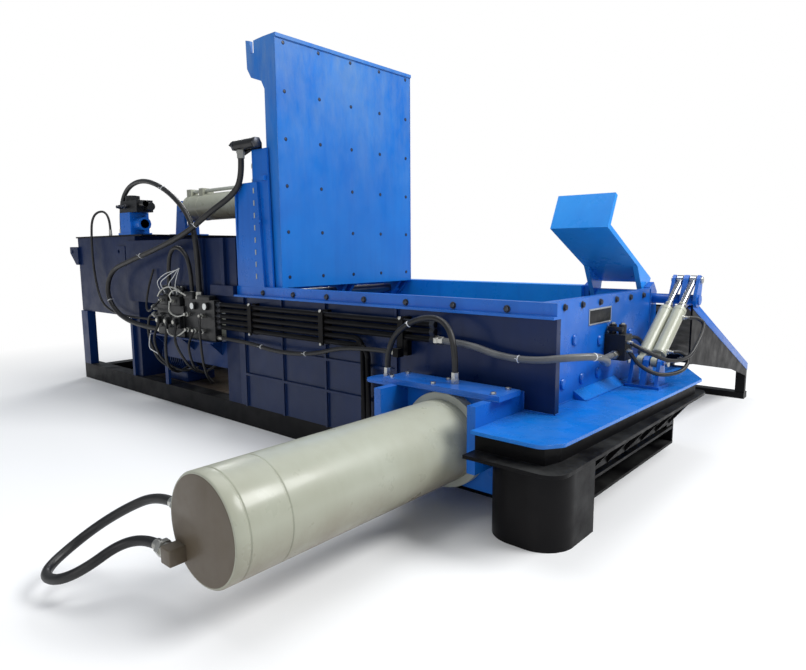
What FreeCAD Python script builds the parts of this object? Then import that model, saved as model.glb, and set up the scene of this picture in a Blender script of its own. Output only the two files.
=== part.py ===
import FreeCAD, Part
import math
import os
import Sketcher

# Recycling baler, millimetres. X runs along the machine towards the bale chamber, Y away from the
# side that holds the side press, Z up. The origin is on the floor under the middle of the skid.

os.makedirs("parts", exist_ok=True)
doc = FreeCAD.newDocument("Baler")
sheet = doc.addObject("Spreadsheet::Sheet", "Sizes")
vector = FreeCAD.Vector
finished = []


# ---------------------------------------------------------------- sizes that carry their expression
class Size:
    """A number kept together with the sheet expression that gives it; arithmetic makes both."""

    def __init__(self, value, text):
        self.value = value
        self.text = text

    def __add__(self, other):
        return combined(self, "+", other)

    def __radd__(self, other):
        return combined(other, "+", self)

    def __sub__(self, other):
        return combined(self, "-", other)

    def __rsub__(self, other):
        return combined(other, "-", self)

    def __mul__(self, other):
        return combined(self, "*", other)

    def __rmul__(self, other):
        return combined(other, "*", self)

    def __truediv__(self, other):
        return combined(self, "/", other)

    def __neg__(self):
        return combined(0, "-", self)


def term(number):
    """Any number as a Size."""
    if isinstance(number, Size):
        return number
    return Size(float(number), "(%.6g)" % number)


def combined(left, sign, right):
    left = term(left)
    right = term(right)
    if sign == "+":
        value = left.value + right.value
    elif sign == "-":
        value = left.value - right.value
    elif sign == "*":
        value = left.value * right.value
    else:
        value = left.value / right.value
    return Size(value, "(%s %s %s)" % (left.text, sign, right.text))


def cosine(angle):
    return Size(math.cos(math.radians(angle.value)), "cos(%s * 1 deg)" % angle.text)


def sine(angle):
    return Size(math.sin(math.radians(angle.value)), "sin(%s * 1 deg)" % angle.text)


sizes = {}


def size(name, value):
    """Write one driving dimension to the sheet and return it."""
    cell = "A%d" % (len(sizes) + 1)
    sheet.set(cell, str(value))
    sheet.setAlias(cell, name)
    sizes[name] = Size(float(value), "Sizes." + name)
    return sizes[name]


# ---------------------------------------------------------------- driving dimensions
# Skid
base_length = size("base_length", 6720)
base_width = size("base_width", 1952)
rail_height = size("rail_height", 190)
rail_width = size("rail_width", 160)
rail_wall = size("rail_wall", 20)
cross_height = size("cross_height", 150)
cross_width = size("cross_width", 160)
cross_count = 7
near = -base_width / 2
far = base_width / 2
skid_end = base_length / 2

# Oil tank and its stand
tank_left = -base_length / 2 - size("tank_overhang", 25)
tank_inset = size("tank_inset", 31)
tank_bottom = size("tank_bottom", 867)
tank_top = size("tank_top", 1776)
tank_wall = size("tank_wall", 8)
cover_thickness = size("cover_thickness", 17)
cover_overhang = size("cover_overhang", 15)
post_width = size("post_width", 176)
post_depth = size("post_depth", 100)
inner_post_width = size("inner_post_width", 50)
lug_length = size("lug_length", 230)
lug_reach = size("lug_reach", 186)
lug_height = size("lug_height", 224)
lug_top = size("lug_top", 1668)
lug_hole = size("lug_hole", 22)
lug_inset = size("lug_inset", 301)
breather_radius = size("breather_radius", 60)
breather_height = size("breather_height", 125)
breather_inset = size("breather_inset", 435)
breather_depth = size("breather_depth", 556)

# Press housing: crosshead and side plates
crosshead_left = tank_left + size("tank_length", 1395)
crosshead_thickness = size("crosshead_thickness", 120)
cover_right = crosshead_left + crosshead_thickness + size("cover_reach", 190)
side_plate = size("side_plate", 30)
housing_left = crosshead_left - size("housing_lap", 45)
housing_right = size("housing_right", 96)
housing_top = size("housing_top", 1725)
window_top = size("window_top", 1055)
window_right = size("window_right", -110)
gusset_left = size("gusset_left", -881)
gusset_right = size("gusset_right", -454)
gusset_foot = size("gusset_foot", 1267)
gusset_peak = size("gusset_peak", 1616)
rib_depth = size("rib_depth", 30)
rib_width = size("rib_width", 54)
shelf_left = size("shelf_left", -279)
shelf_depth = size("shelf_depth", 44)

# Press box
wall_thickness = size("wall_thickness", 50)
wall_top = size("wall_top", 1195)
wall_right = skid_end - size("wall_inset", 80)
rim_top = wall_top + size("rim_height", 95)
ledge_reach = size("ledge_reach", 40)
ledge_thickness = size("ledge_thickness", 17)
seam_rib = size("seam_rib", 20)
rib_pitch = size("rib_pitch", 544)
rib_start = size("rib_start", 192)
low_rib = size("low_rib", 480)
high_rib = size("high_rib", 736)
far_inner = far - size("far_wall_depth", 162)
far_wall_right = skid_end - size("outlet_inset", 770)
rim_band = size("rim_band", 40)
floor_thickness = size("floor_thickness", 40)
end_wall_left = skid_end - size("end_wall_inset", 230)
end_wall_thickness = size("end_wall_thickness", 50)
end_wall_top = rim_top - size("end_wall_drop", 5)
boss_radius = size("boss_radius", 34)
boss_height = size("boss_height", 14)
bolt_across = size("bolt_across", 36)
bolt_height = size("bolt_height", 14)
rim_bolt_height = rim_top - size("rim_bolt_drop", 50)
near_inner = near + wall_thickness
end_face = end_wall_left + end_wall_thickness

# Side press
side_centre = skid_end - size("side_inset", 670)
side_height = rail_height + size("side_rise", 248)
side_radius = size("side_radius", 256)
side_bore = size("side_bore", 215)
side_end = near - size("side_reach", 1984)
side_cap = size("side_cap", 60)
side_flange_radius = size("side_flange_radius", 300)
side_flange = size("side_flange", 60)
face_plate_near = near - size("face_plate_reach", 264)
face_plate_thickness = size("face_plate_thickness", 60)
cheek_gap = size("cheek_gap", 654)
cheek_thickness = size("cheek_thickness", 56)
rib_end = side_centre - cheek_gap / 2 - cheek_thickness - size("rib_end_gap", 275)
cheek_near = near - size("cheek_reach", 524)
cheek_top = rail_height + size("cheek_rise", 555)
side_ram_width = size("side_ram_width", 580)
side_ram_height = size("side_ram_height", 488)
side_ram_length = size("side_ram_length", 244)
side_rod_radius = size("side_rod_radius", 110)
ram_gap = size("ram_gap", 2)
rod_gap = size("rod_gap", 0.5)
guide_gap = size("guide_gap", 10)
keeper_thickness = size("keeper_thickness", 34)
keeper_left = side_centre - size("keeper_left_reach", 460)
keeper_right = side_centre + size("keeper_right_reach", 430)
keeper_near = near - size("keeper_reach", 358)
keeper_width = size("keeper_width", 235)

# Main press
main_height = rail_height + size("main_rise", 450)
main_radius = size("main_radius", 225)
main_bore = size("main_bore", 185)
main_end = size("main_end", 150)
piston_rest = size("piston_rest", 20)
main_flange_radius = size("main_flange_radius", 300)
main_flange = size("main_flange", 60)
main_rod_radius = size("main_rod_radius", 130)
piston_length = size("piston_length", 120)
piston_gap = size("piston_gap", 0.5)
ram_left = main_end + size("ram_left_gap", 50)
ram_face = ram_left + size("ram_length", 400)
ram_top = size("ram_top", 1000)
ram_side_gap = size("ram_side_gap", 10)
ram_wall = size("ram_wall", 40)

# Lid, hinge and lid cylinder
hinge_x = size("hinge_x", 470)
hinge_z = rim_top - size("hinge_drop", 80)
hinge_pin_radius = size("hinge_pin_radius", 45)
pin_fit = size("pin_fit", 0.1)
lid_face = hinge_x + size("lid_face_offset", 196)
lid_thickness = size("lid_thickness", 150)
lid_skin = size("lid_skin", 30)
lid_bottom = rim_top - size("lid_drop", 4)
lid_top = lid_bottom + size("lid_length", 2082)
lid_side_gap = size("lid_side_gap", 14)
lip_reach = size("lip_reach", 14)
ear_left = size("ear_left", 276)
ear_bottom = lid_top - size("ear_height", 218)
ear_root = lid_top - size("ear_root_height", 418)
ear_slot_left = size("ear_slot_left", 335)
ear_slot_width = size("ear_slot_width", 50)
ear_slot_depth = size("ear_slot_depth", 105)
hinge_lug_radius = size("hinge_lug_radius", 88)
hinge_lug_width = size("hinge_lug_width", 36)
hinge_lug_gap = size("hinge_lug_gap", 4)
bearing_width = size("bearing_width", 60)
bearing_inset = size("bearing_inset", 1)
bearing_radius = size("bearing_radius", 70)
lid_half = (far_inner - near_inner) / 2 - lid_side_gap
bearing_pitch = lid_half - bearing_inset - hinge_lug_width - hinge_lug_gap - bearing_width / 2
beam_right = hinge_x - size("beam_setback", 110)
beam_left = beam_right - size("beam_depth", 180)
beam_top = rim_top - size("beam_drop", 10)
beam_bottom = beam_top - size("beam_height", 260)
beam_wall = size("beam_wall", 30)
liner_columns = 5
liner_rows = 6
liner_side_margin = size("liner_side_margin", 90)
liner_top_margin = size("liner_top_margin", 60)
liner_bottom_margin = size("liner_bottom_margin", 90)
liner_bolt_across = size("liner_bolt_across", 30)
liner_bolt_height = size("liner_bolt_height", 6)
lid_pivot_x = crosshead_left - size("lid_pivot_inset", 260)
lid_pivot_z = tank_top + size("lid_pivot_rise", 354)
lid_pin_x = hinge_x - size("lid_pin_reach", 250)
lid_barrel_radius = size("lid_barrel_radius", 155)
lid_barrel_bore = size("lid_barrel_bore", 125)
lid_barrel_start = size("lid_barrel_start", 130)
lid_rod_radius = size("lid_rod_radius", 80)
lid_rod_neck = size("lid_rod_neck", 345)
lid_rod_show = size("lid_rod_show", 45)
lid_eye_radius = size("lid_eye_radius", 95)
lid_eye_width = size("lid_eye_width", 110)
pivot_pin_radius = size("pivot_pin_radius", 45)
fork_gap = size("fork_gap", 6)
fork_plate = size("fork_plate", 36)

# Tower beside the lid
tower_left = housing_right + size("tower_gap", 19)
tower_right = tower_left + size("tower_width", 387)
tower_top = rim_top + size("tower_height", 900)
tower_top_left = tower_left + size("tower_lean", 68)
tower_top_right = tower_right - size("tower_taper", 56)
mast_left = tower_left + size("mast_inset", 234)
mast_right = mast_left + size("mast_width", 239)
mast_top_right = mast_right - size("mast_taper", 29)
mast_top = tower_top + size("mast_rise", 274)
mast_thickness = size("mast_thickness", 20)
stop_x = mast_left + size("stop_inset", 169)
stop_z = tower_top + size("stop_rise", 26)
stop_size = size("stop_size", 60)
stop_gap = size("stop_gap", 2)

# Turn-out arm, its shaft and cylinders
arm_left = far_wall_right + size("arm_gap", 55)
arm_right = end_wall_left - size("arm_end_gap", 30)
arm_plate = size("arm_plate", 40)
shaft_y = far - size("shaft_inset", 23)
shaft_z = rim_top - size("shaft_drop", 92)
arm_bend_y = shaft_y - size("arm_bend_reach", 838)
arm_bend_z = shaft_z + size("arm_bend_rise", 559)
arm_slope = size("arm_slope", 25.8)
arm_long = size("arm_long", 998)
arm_short = size("arm_short", 280)
shaft_radius = size("shaft_radius", 40)
shaft_left = far_wall_right + size("shaft_gap", 2)
shaft_right = skid_end + size("shaft_overhang", 160)
arm_hub_radius = size("arm_hub_radius", 66)
bearing_post = size("bearing_post", 45)
post_reach = far + size("post_overhang", 54)
crank_radius = size("crank_radius", 162)
crank_angle = size("crank_angle", 71.7)
crank_hub = size("crank_hub", 66)
crank_boss = size("crank_boss", 42)
first_cylinder_x = skid_end - size("first_cylinder_inset", 10)
cylinder_spacing = size("cylinder_spacing", 100)
cylinder_count = 2
crank_side_gap = size("crank_side_gap", 30)
crank_plate = size("crank_plate", 25)
pivot_y = shaft_y - size("pivot_reach", 755)
pivot_z = shaft_z - size("pivot_drop", 397)
cylinder_slope = size("cylinder_slope", 34.36)
cylinder_reach = size("cylinder_reach", 976)
cylinder_radius = size("cylinder_radius", 48)
cylinder_bore = size("cylinder_bore", 40)
cylinder_start = size("cylinder_start", 75)
cylinder_shoulder = size("cylinder_shoulder", 595)
cylinder_gland = size("cylinder_gland", 657)
gland_radius = size("gland_radius", 29)
cylinder_rod_radius = size("cylinder_rod_radius", 25)
rod_start = size("rod_start", 385)
eye_radius = size("eye_radius", 36)
eye_width = size("eye_width", 44)
eye_bore = size("eye_bore", 20)
pedestal_half = size("pedestal_half", 66)

# Deck round the chamber end
deck_top = size("deck_top", 624)
deck_plate_thickness = size("deck_plate_thickness", 20)
deck_near = near - size("deck_reach", 571)
deck_corner_x = skid_end + size("deck_corner_reach", 140)
deck_right_near = skid_end + size("deck_near_reach", 217)
deck_corner_y = near - size("deck_corner_depth", 461)
deck_right_far = skid_end + size("deck_far_reach", 278)
deck_far_corner = far - size("deck_far_inset", 290)
deck_far_x = skid_end + size("deck_far_overhang", 13)
deck_far = far + size("deck_far_depth", 182)
deck_round = size("deck_round", 60)
web_inset = size("web_inset", 45)
flange_top = size("flange_top", 505)
flange_thickness = size("flange_thickness", 20)
flange_near = near - size("flange_reach", 644)
flange_right = skid_end + size("flange_overhang", 280)
flange_far = far - size("flange_far_inset", 100)
flange_round = size("flange_round", 110)
skirt_rib = size("skirt_rib", 20)
skirt_rib_count = 6
skirt_rib_reach = size("skirt_rib_reach", 230)
foot_near = near - size("foot_reach", 484)
foot_left = side_centre + cheek_gap / 2 + cheek_thickness + size("foot_gap", 5)
foot_right = skid_end + size("foot_overhang", 200)
foot_round = size("foot_round", 190)
foot_wall = size("foot_wall", 16)
strip_near = (near_inner + far_inner) / 2 - size("strip_left", 467)
strip_far = (near_inner + far_inner) / 2 + size("strip_right", 193)
strip_depth = size("strip_depth", 90)
strip_height = size("strip_height", 56)

# Discharge chute
chute_left = far_wall_right + size("chute_gap", 10)
chute_right = skid_end + size("chute_overhang", 76)
chute_start = far + size("chute_start_gap", 89)
chute_end = chute_start + size("chute_length", 2035)
chute_height = shaft_z - size("chute_drop", 60)
chute_slope = size("chute_slope", 21.7)
chute_skin = size("chute_skin", 12)
chute_edge = size("chute_edge", 50)
chute_web = size("chute_web", 14)
chute_foot = size("chute_foot", 65)

# Hydraulics
valve_near = near - size("valve_reach", 144)
stand_left = size("stand_left", -1300)
stand_top = size("stand_top", 747)
stand_bottom = stand_top - size("stand_height", 247)
stand_plate = size("stand_plate", 15)
manifold_left = stand_left + size("manifold_inset", 150)
manifold_right = manifold_left + size("manifold_length", 510)
manifold_top = stand_top + size("manifold_height", 323)
manifold_near = near - size("manifold_reach", 124)
pipe_radius = size("pipe_radius", 21)
pipe_pitch = size("pipe_pitch", 52)
pipe_low = size("pipe_low", 905)
pipe_y = near - size("pipe_reach", 66)
pipe_right = side_centre - size("pipe_end_gap", 250)
pipe_count = 5
drop_pipe_x = side_centre - size("drop_pipe_gap", 880)
drop_pipe_bend = size("drop_pipe_bend", 90)
drop_pipe_end = size("drop_pipe_end", 340)
clamp_width = size("clamp_width", 50)
block_left_y = (near_inner + far_inner) / 2 - size("block_left_reach", 4)
block_right_y = (near_inner + far_inner) / 2 + size("block_right_reach", 116)
block_depth = size("block_depth", 150)
block_bottom = size("block_bottom", 830)
block_top = block_bottom + size("block_height", 180)
fitting_length = size("fitting_length", 70)
doc.recompute()


# ---------------------------------------------------------------- makers
PLANES = {"X": "YZ_Plane", "Y": "XZ_Plane", "Z": "XY_Plane"}
AXES = {"X": vector(1, 0, 0), "Y": vector(0, 1, 0), "Z": vector(0, 0, 1)}
TURNS = {
    "X": FreeCAD.Rotation(AXES["Y"], 90),
    "Y": FreeCAD.Rotation(AXES["X"], -90),
    "-Y": FreeCAD.Rotation(AXES["X"], 90),
    "Z": FreeCAD.Rotation(),
}


def bind(thing, name, value):
    thing.setExpression(name, term(value).text)


def place(thing, x, y, z):
    for axis, value in (("x", x), ("y", y), ("z", z)):
        bind(thing, "Placement.Base." + axis, value)


def finish(thing):
    """Mark a piece as a node of its own."""
    finished.append(thing)
    return thing


def block(name, x, y, z):
    """A rectangular bar or plate between its low and high faces on each axis."""
    box = doc.addObject("Part::Box", name)
    for prop, (low, high) in (("Length", x), ("Width", y), ("Height", z)):
        bind(box, prop, term(high) - low)
    place(box, x[0], y[0], z[0])
    return box


def lay(bar, along, centre, low, high):
    """Lay a bar along one axis; centre gives the other two coordinates in order."""
    bar.Placement.Rotation = TURNS[along]
    bind(bar, "Height", term(high) - low)
    where = {"X": (low, *centre), "Y": (centre[0], low, centre[-1]), "Z": (*centre, low)}[along]
    place(bar, *where)
    return bar


def round_bar(name, along, centre, low, high, radius):
    """A plain cylinder along one axis."""
    bar = doc.addObject("Part::Cylinder", name)
    bind(bar, "Radius", radius)
    return lay(bar, along, centre, low, high)


def prism(name, along, centre, low, high, radius, sides):
    """A regular prism along one axis, its corners on a circle of the radius."""
    bar = doc.addObject("Part::Prism", name)
    bar.Polygon = sides
    bind(bar, "Circumradius", radius)
    return lay(bar, along, centre, low, high)


def pin_point(sketch, geometry, point, spot):
    """Tie a point of a sketch to its two coordinates on the sheet."""
    for kind, value in zip(("DistanceX", "DistanceY"), spot):
        number = sketch.addConstraint(Sketcher.Constraint(kind, -1, 1, geometry, point, 1.0))
        sketch.setExpression("Constraints[%d]" % number, term(value).text)


def draw_loop(sketch, corners):
    """A closed outline of straight edges through corners whose places come from the sheet."""
    first = sketch.GeometryCount
    count = len(corners)
    spots = [vector(term(u).value, term(v).value, 0) for u, v in corners]
    for i in range(count):
        sketch.addGeometry(Part.LineSegment(spots[i], spots[(i + 1) % count]), False)
    for i in range(count):
        following = first + (i + 1) % count
        sketch.addConstraint(Sketcher.Constraint("Coincident", first + i, 2, following, 1))
    for i in range(count):
        pin_point(sketch, first + i, 1, corners[i])


def draw_circle(sketch, centre, radius):
    spot = vector(term(centre[0]).value, term(centre[1]).value, 0)
    circle = Part.Circle(spot, vector(0, 0, 1), term(radius).value)
    number = sketch.addGeometry(circle, False)
    pin_point(sketch, number, 3, centre)
    tie = sketch.addConstraint(Sketcher.Constraint("Radius", number, term(radius).value))
    sketch.setExpression("Constraints[%d]" % tie, term(radius).text)


def new_sketch(body, name, across):
    sketch = body.newObject("Sketcher::SketchObject", name)
    plane = next(o for o in body.Origin.OriginFeatures if o.Role == PLANES[across])
    sketch.AttachmentSupport = [(plane, "")]
    sketch.MapMode = "FlatFace"
    return sketch


def plate(name, across, outline, low, high, windows=(), holes=(), rounds=()):
    """A flat or extruded piece padded from low to high along one axis.

    windows are inner outlines, holes are (centre, radius) pairs, and rounds are (corner numbers of
    the outline, radius) pairs.
    """
    body = doc.addObject("PartDesign::Body", name)
    sketch = new_sketch(body, name + "_outline", across)
    offset = -term(high) if across == "Y" else term(low)
    bind(sketch, "AttachmentOffset.Base.z", offset)
    for corners in (outline, *windows):
        draw_loop(sketch, corners)
    for centre, radius in holes:
        draw_circle(sketch, centre, radius)
    pad = body.newObject("PartDesign::Pad", name + "_pad")
    pad.Profile = sketch
    bind(pad, "Length", term(high) - low)
    for corners, radius in rounds:
        round_corners(body, name, across, [outline[i] for i in corners], radius)
    return body


def round_corners(body, name, across, corners, radius):
    """Round the upright edges of a padded body that stand at the given corners."""
    doc.recompute()
    tip = body.Tip
    drop = "XYZ".index(across)
    spots = [(term(u).value, term(v).value) for u, v in corners]
    chosen = []
    for number, edge in enumerate(tip.Shape.Edges, 1):
        ends = [[c for i, c in enumerate(v.Point) if i != drop] for v in edge.Vertexes]
        for spot in spots:
            if all(math.dist(end, spot) < 1e-3 for end in ends):
                chosen.append("Edge%d" % number)
    fillet = body.newObject("PartDesign::Fillet", name + "_round")
    fillet.Base = (tip, chosen)
    bind(fillet, "Radius", radius)


def turned(name, profile, turn, x, y, z):
    """A piece turned on a lathe: profile is (radius, length along the axis) corners."""
    body = doc.addObject("PartDesign::Body", name)
    sketch = new_sketch(body, name + "_profile", "Y")
    draw_loop(sketch, profile)
    revolution = body.newObject("PartDesign::Revolution", name + "_turning")
    revolution.Profile = sketch
    revolution.ReferenceAxis = (sketch, ["V_Axis"])
    revolution.Angle = 360
    body.Placement.Rotation = turn
    place(body, x, y, z)
    return body


def welded(name, pieces):
    """Several plates or bars welded into one solid."""
    weldment = doc.addObject("Part::MultiFuse", name)
    weldment.Shapes = pieces
    return weldment


def without(name, base, tool):
    cut = doc.addObject("Part::Cut", name)
    cut.Base = base
    cut.Tool = tool
    return cut


def group(name, pieces):
    """Identical or matching solids kept as one node."""
    compound = doc.addObject("Part::Compound", name)
    compound.Links = pieces
    return compound


def hexagon_heads(name, seats, direction, across=None, height=None):
    """Hexagon bolt heads as one group; each seat is the middle of a head's underside."""
    across = across or bolt_across
    height = height or bolt_height
    reach = across.value / math.sqrt(3)
    turn = FreeCAD.Rotation(vector(0, 0, 1), direction)
    heads = []
    for seat in seats:
        ring = []
        for corner in range(7):
            angle = math.radians(60 * corner)
            ring.append(vector(reach * math.cos(angle), reach * math.sin(angle), 0))
        head = Part.Face(Part.makePolygon(ring)).extrude(vector(0, 0, height.value))
        head.Placement = FreeCAD.Placement(vector(*[term(c).value for c in seat]), turn)
        heads.append(head)
    feature = doc.addObject("Part::Feature", name)
    feature.Shape = Part.makeCompound(heads)
    return feature


# ---------------------------------------------------------------- skid, tank and stand
def base_frame():
    """Two channel rails joined by channel cross members under the whole machine."""
    members = []
    for name, outer, inward in (("near_rail", near, 1), ("far_rail", far, -1)):
        inner = outer + inward * rail_width
        web = outer + inward * rail_wall
        outline = [
            (outer, 0), (inner, 0), (inner, rail_wall), (web, rail_wall),
            (web, rail_height - rail_wall), (inner, rail_height - rail_wall),
            (inner, rail_height), (outer, rail_height),
        ]
        members.append(plate(name, "X", outline, -base_length / 2, base_length / 2))
    step = (base_length - cross_width) / (cross_count - 1)
    for i in range(cross_count):
        left = i * step - base_length / 2
        right = left + cross_width
        outline = [
            (left, 0), (right, 0), (right, rail_wall), (left + rail_wall, rail_wall),
            (left + rail_wall, cross_height - rail_wall), (right, cross_height - rail_wall),
            (right, cross_height), (left, cross_height),
        ]
        name = "cross_member_%d" % (i + 1)
        members.append(plate(name, "Y", outline, near + rail_wall, far - rail_wall))
    finish(welded("base_frame", members))


def tank_stand():
    """Four posts that carry the tank over the open end of the skid."""
    posts = []
    left = -base_length / 2
    for side, low, high in (("near", near, near + post_depth), ("far", far - post_depth, far)):
        for end, x in (("outer", (left, left + post_width)),
                       ("inner", (crosshead_left - inner_post_width, crosshead_left))):
            posts.append(block("%s_%s_post" % (side, end), x, (low, high), (rail_height, tank_bottom)))
    finish(group("tank_stand", posts))


def oil_tank():
    """A welded sheet tank with four lifting lugs on its sides."""
    y = (near + tank_inset, far - tank_inset)
    shell = block("tank_shell", (tank_left, crosshead_left), y, (tank_bottom, tank_top))
    hollow = block(
        "tank_hollow",
        (tank_left + tank_wall, crosshead_left - tank_wall),
        (y[0] + tank_wall, y[1] - tank_wall),
        (tank_bottom + tank_wall, tank_top - tank_wall),
    )
    pieces = [without("tank_box", shell, hollow)]
    bottom = lug_top - lug_height
    for side, low, high in (("near", y[0] - side_plate, y[0]), ("far", y[1], y[1] + side_plate)):
        for number in range(2):
            left = (tank_left - lug_reach, crosshead_left - lug_inset)[number]
            right = left + lug_length
            outline = [
                (left, lug_top), (left, lug_top - lug_height * 0.35),
                (right - lug_length * 0.3, bottom), (right, bottom), (right, lug_top),
            ]
            eye = ((left + lug_length * 0.36, lug_top - lug_height * 0.27), lug_hole)
            name = "%s_lug_%d" % (side, number + 1)
            pieces.append(plate(name, "Y", outline, low, high, holes=[eye]))
    finish(welded("oil_tank", pieces))


def tank_cover():
    """The flat cover over the tank and the crosshead, which carries the pump and a breather."""
    y = (near + tank_inset - cover_overhang, far - tank_inset + cover_overhang)
    sheet_metal = block(
        "cover_sheet", (tank_left - cover_overhang, cover_right), y, (tank_top, tank_top + cover_thickness)
    )
    neck = round_bar(
        "breather", "Z", (tank_left + breather_inset, far - breather_depth),
        tank_top + cover_thickness, tank_top + cover_thickness + breather_height, breather_radius,
    )
    finish(welded("tank_cover", [sheet_metal, neck]))


# ---------------------------------------------------------------- press housing
def crosshead():
    """The thick upright plate that takes the thrust of the main cylinder."""
    y = (near + tank_inset, far - tank_inset)
    x = (crosshead_left, crosshead_left + crosshead_thickness)
    finish(block("crosshead", x, y, (rail_height, tank_top)))


def housing_near_plate():
    """The near side plate, open where the valves stand, with its outer ribs, gusset and shelf."""
    y = (near, near + side_plate)
    outline = [
        (housing_left, window_top), (housing_left, housing_top), (housing_right, housing_top),
        (housing_right, rail_height), (window_right, rail_height), (window_right, window_top),
    ]
    sheet_metal = plate("near_plate_sheet", "Y", outline, *y)
    front = (near - rib_depth, near)
    ribs = [
        block("near_rib_1", (gusset_right, gusset_right + rib_width), front, (window_top, housing_top)),
        block("near_rib_2", (window_right, window_right + rib_width), front, (rim_top, housing_top)),
    ]
    triangle = [(gusset_left, gusset_foot), (gusset_right, gusset_foot), (gusset_right, gusset_peak)]
    ribs.append(plate("near_gusset", "Y", triangle, *front))
    shelf = (near - shelf_depth, near)
    ribs.append(block("pipe_shelf", (shelf_left, housing_right), shelf, (wall_top, rim_top)))
    finish(welded("housing_near_plate", [sheet_metal, *ribs]))


def housing_far_plate():
    """The far side plate, closed down to the skid, with three upright ribs."""
    y = (far - side_plate, far)
    sheet_metal = block("far_plate_sheet", (housing_left, housing_right), y, (tank_bottom, housing_top))
    lower = block("far_plate_lower", (window_right, housing_right), y, (rail_height, tank_bottom))
    ribs = []
    for number, x in enumerate((gusset_left, gusset_right, window_right)):
        span = (x, x + rib_width)
        ribs.append(block("far_rib_%d" % (number + 1), span, (far, far + rib_depth), (tank_bottom, housing_top)))
    finish(welded("housing_far_plate", [sheet_metal, lower, *ribs]))


def hinge_beam():
    """The box beam across the press with the three bearings of the lid hinge on its front."""
    outer = block("beam_outer", (beam_left, beam_right), (near_inner, far_inner), (beam_bottom, beam_top))
    hollow = block(
        "beam_hollow", (beam_left + beam_wall, beam_right - beam_wall), (near_inner, far_inner),
        (beam_bottom + beam_wall, beam_top - beam_wall),
    )
    pieces = [without("beam_tube", outer, hollow)]
    bore = hinge_pin_radius + pin_fit
    for number in range(3):
        middle = (near_inner + far_inner) / 2 + (number - 1) * bearing_pitch
        y = (middle - bearing_width / 2, middle + bearing_width / 2)
        outline = [
            (beam_right, hinge_z - hinge_lug_radius * 2),
            (hinge_x + bearing_radius * 0.38, hinge_z - bearing_radius * 0.92),
            (hinge_x + bearing_radius * 0.92, hinge_z - bearing_radius * 0.38),
            (hinge_x + bearing_radius * 0.92, hinge_z + bearing_radius * 0.38),
            (hinge_x + bearing_radius * 0.38, hinge_z + bearing_radius * 0.92),
            (beam_right, hinge_z + bearing_radius * 0.9),
        ]
        name = "hinge_bearing_%d" % (number + 1)
        pieces.append(plate(name, "Y", outline, *y, holes=[((hinge_x, hinge_z), bore)]))
    finish(welded("hinge_beam", pieces))


# ---------------------------------------------------------------- press box
def box_floor():
    """The wear floor that the rams slide over, flush with the rails."""
    x = (crosshead_left + crosshead_thickness, end_wall_left)
    y = (near + rail_width, far - rail_width)
    finish(block("box_floor", x, y, (rail_height - floor_thickness, rail_height)))


def near_side_wall():
    """The near wall of the press box with the side ram's window and its outer stiffening ribs."""
    y = (near, near_inner)
    half = side_ram_width / 2 + guide_gap
    window_high = rail_height + side_ram_height + guide_gap
    outline = [
        (housing_right, rail_height), (side_centre - half, rail_height), (side_centre - half, window_high),
        (side_centre + half, window_high), (side_centre + half, rail_height), (wall_right, rail_height),
        (wall_right, wall_top), (housing_right, wall_top),
    ]
    pieces = [plate("near_wall_sheet", "Y", outline, *y)]
    front = (near - seam_rib, near)
    for number in range(3):
        x = rib_start + rib_pitch * number
        pieces.append(block("near_upright_%d" % (number + 1), (x, x + seam_rib), front, (rail_height, wall_top)))
    pieces.append(block("near_low_rib", (rib_start, rib_end), front, (low_rib, low_rib + seam_rib)))
    second = rib_start + rib_pitch
    pieces.append(block("near_high_rib", (second, rib_end), front, (high_rib, high_rib + seam_rib)))
    pieces.append(block("near_end_upright", (rib_end, rib_end + seam_rib), front, (rail_height, wall_top)))
    finish(welded("near_side_wall", pieces))


def near_rim_rail():
    """The rim on the near wall: an upright bar with a ledge along its foot."""
    outline = [
        (near - ledge_reach, wall_top), (near_inner, wall_top), (near_inner, rim_top), (near, rim_top),
        (near, wall_top + ledge_thickness), (near - ledge_reach, wall_top + ledge_thickness),
    ]
    finish(plate("near_rim_rail", "X", outline, housing_right, wall_right))


def far_side_wall():
    """The far wall, an inner plate carried by ribs, which ends at the turn-out arm."""
    x = (housing_right, far_wall_right)
    outer = (far_inner + wall_thickness, far)
    pieces = [block("far_wall_sheet", x, (far_inner, outer[0]), (rail_height, rim_top))]
    pieces.append(block("far_rim", x, outer, (rim_top - rim_band, rim_top)))
    pieces.append(block("far_foot", x, outer, (rail_height, rail_height + rim_band)))
    inner_height = (rail_height + rim_band, rim_top - rim_band)
    count = 5
    step = (far_wall_right - housing_right - rib_depth) / (count - 1)
    for number in range(count):
        left = housing_right + step * number
        pieces.append(block("far_wall_rib_%d" % (number + 1), (left, left + rib_depth), outer, inner_height))
    finish(welded("far_side_wall", pieces))


def bearing_posts():
    """Two posts with pointed tops that carry the turn-out shaft beyond the far wall."""
    posts = []
    bore = ((shaft_y, shaft_z), shaft_radius + pin_fit)
    low = far_inner + wall_thickness
    peak = shaft_z + crank_hub * 2
    for name, left, foot in (("left_post", far_wall_right, low), ("right_post", arm_right + guide_gap, low)):
        outline = [
            (foot, rail_height), (far, rail_height), (post_reach, shaft_z - crank_radius),
            (post_reach, shaft_z + crank_hub * 0.8), (shaft_y, peak), (foot, rim_top),
        ]
        posts.append(plate(name, "X", outline, left, left + bearing_post, holes=[bore]))
    tie = block(
        "right_post_tie", (end_wall_left, arm_right + guide_gap + bearing_post), (far_inner, low),
        (rail_height, end_wall_top),
    )
    posts[1] = welded("right_post_weldment", [posts[1], tie])
    finish(group("bearing_posts", posts))


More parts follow.
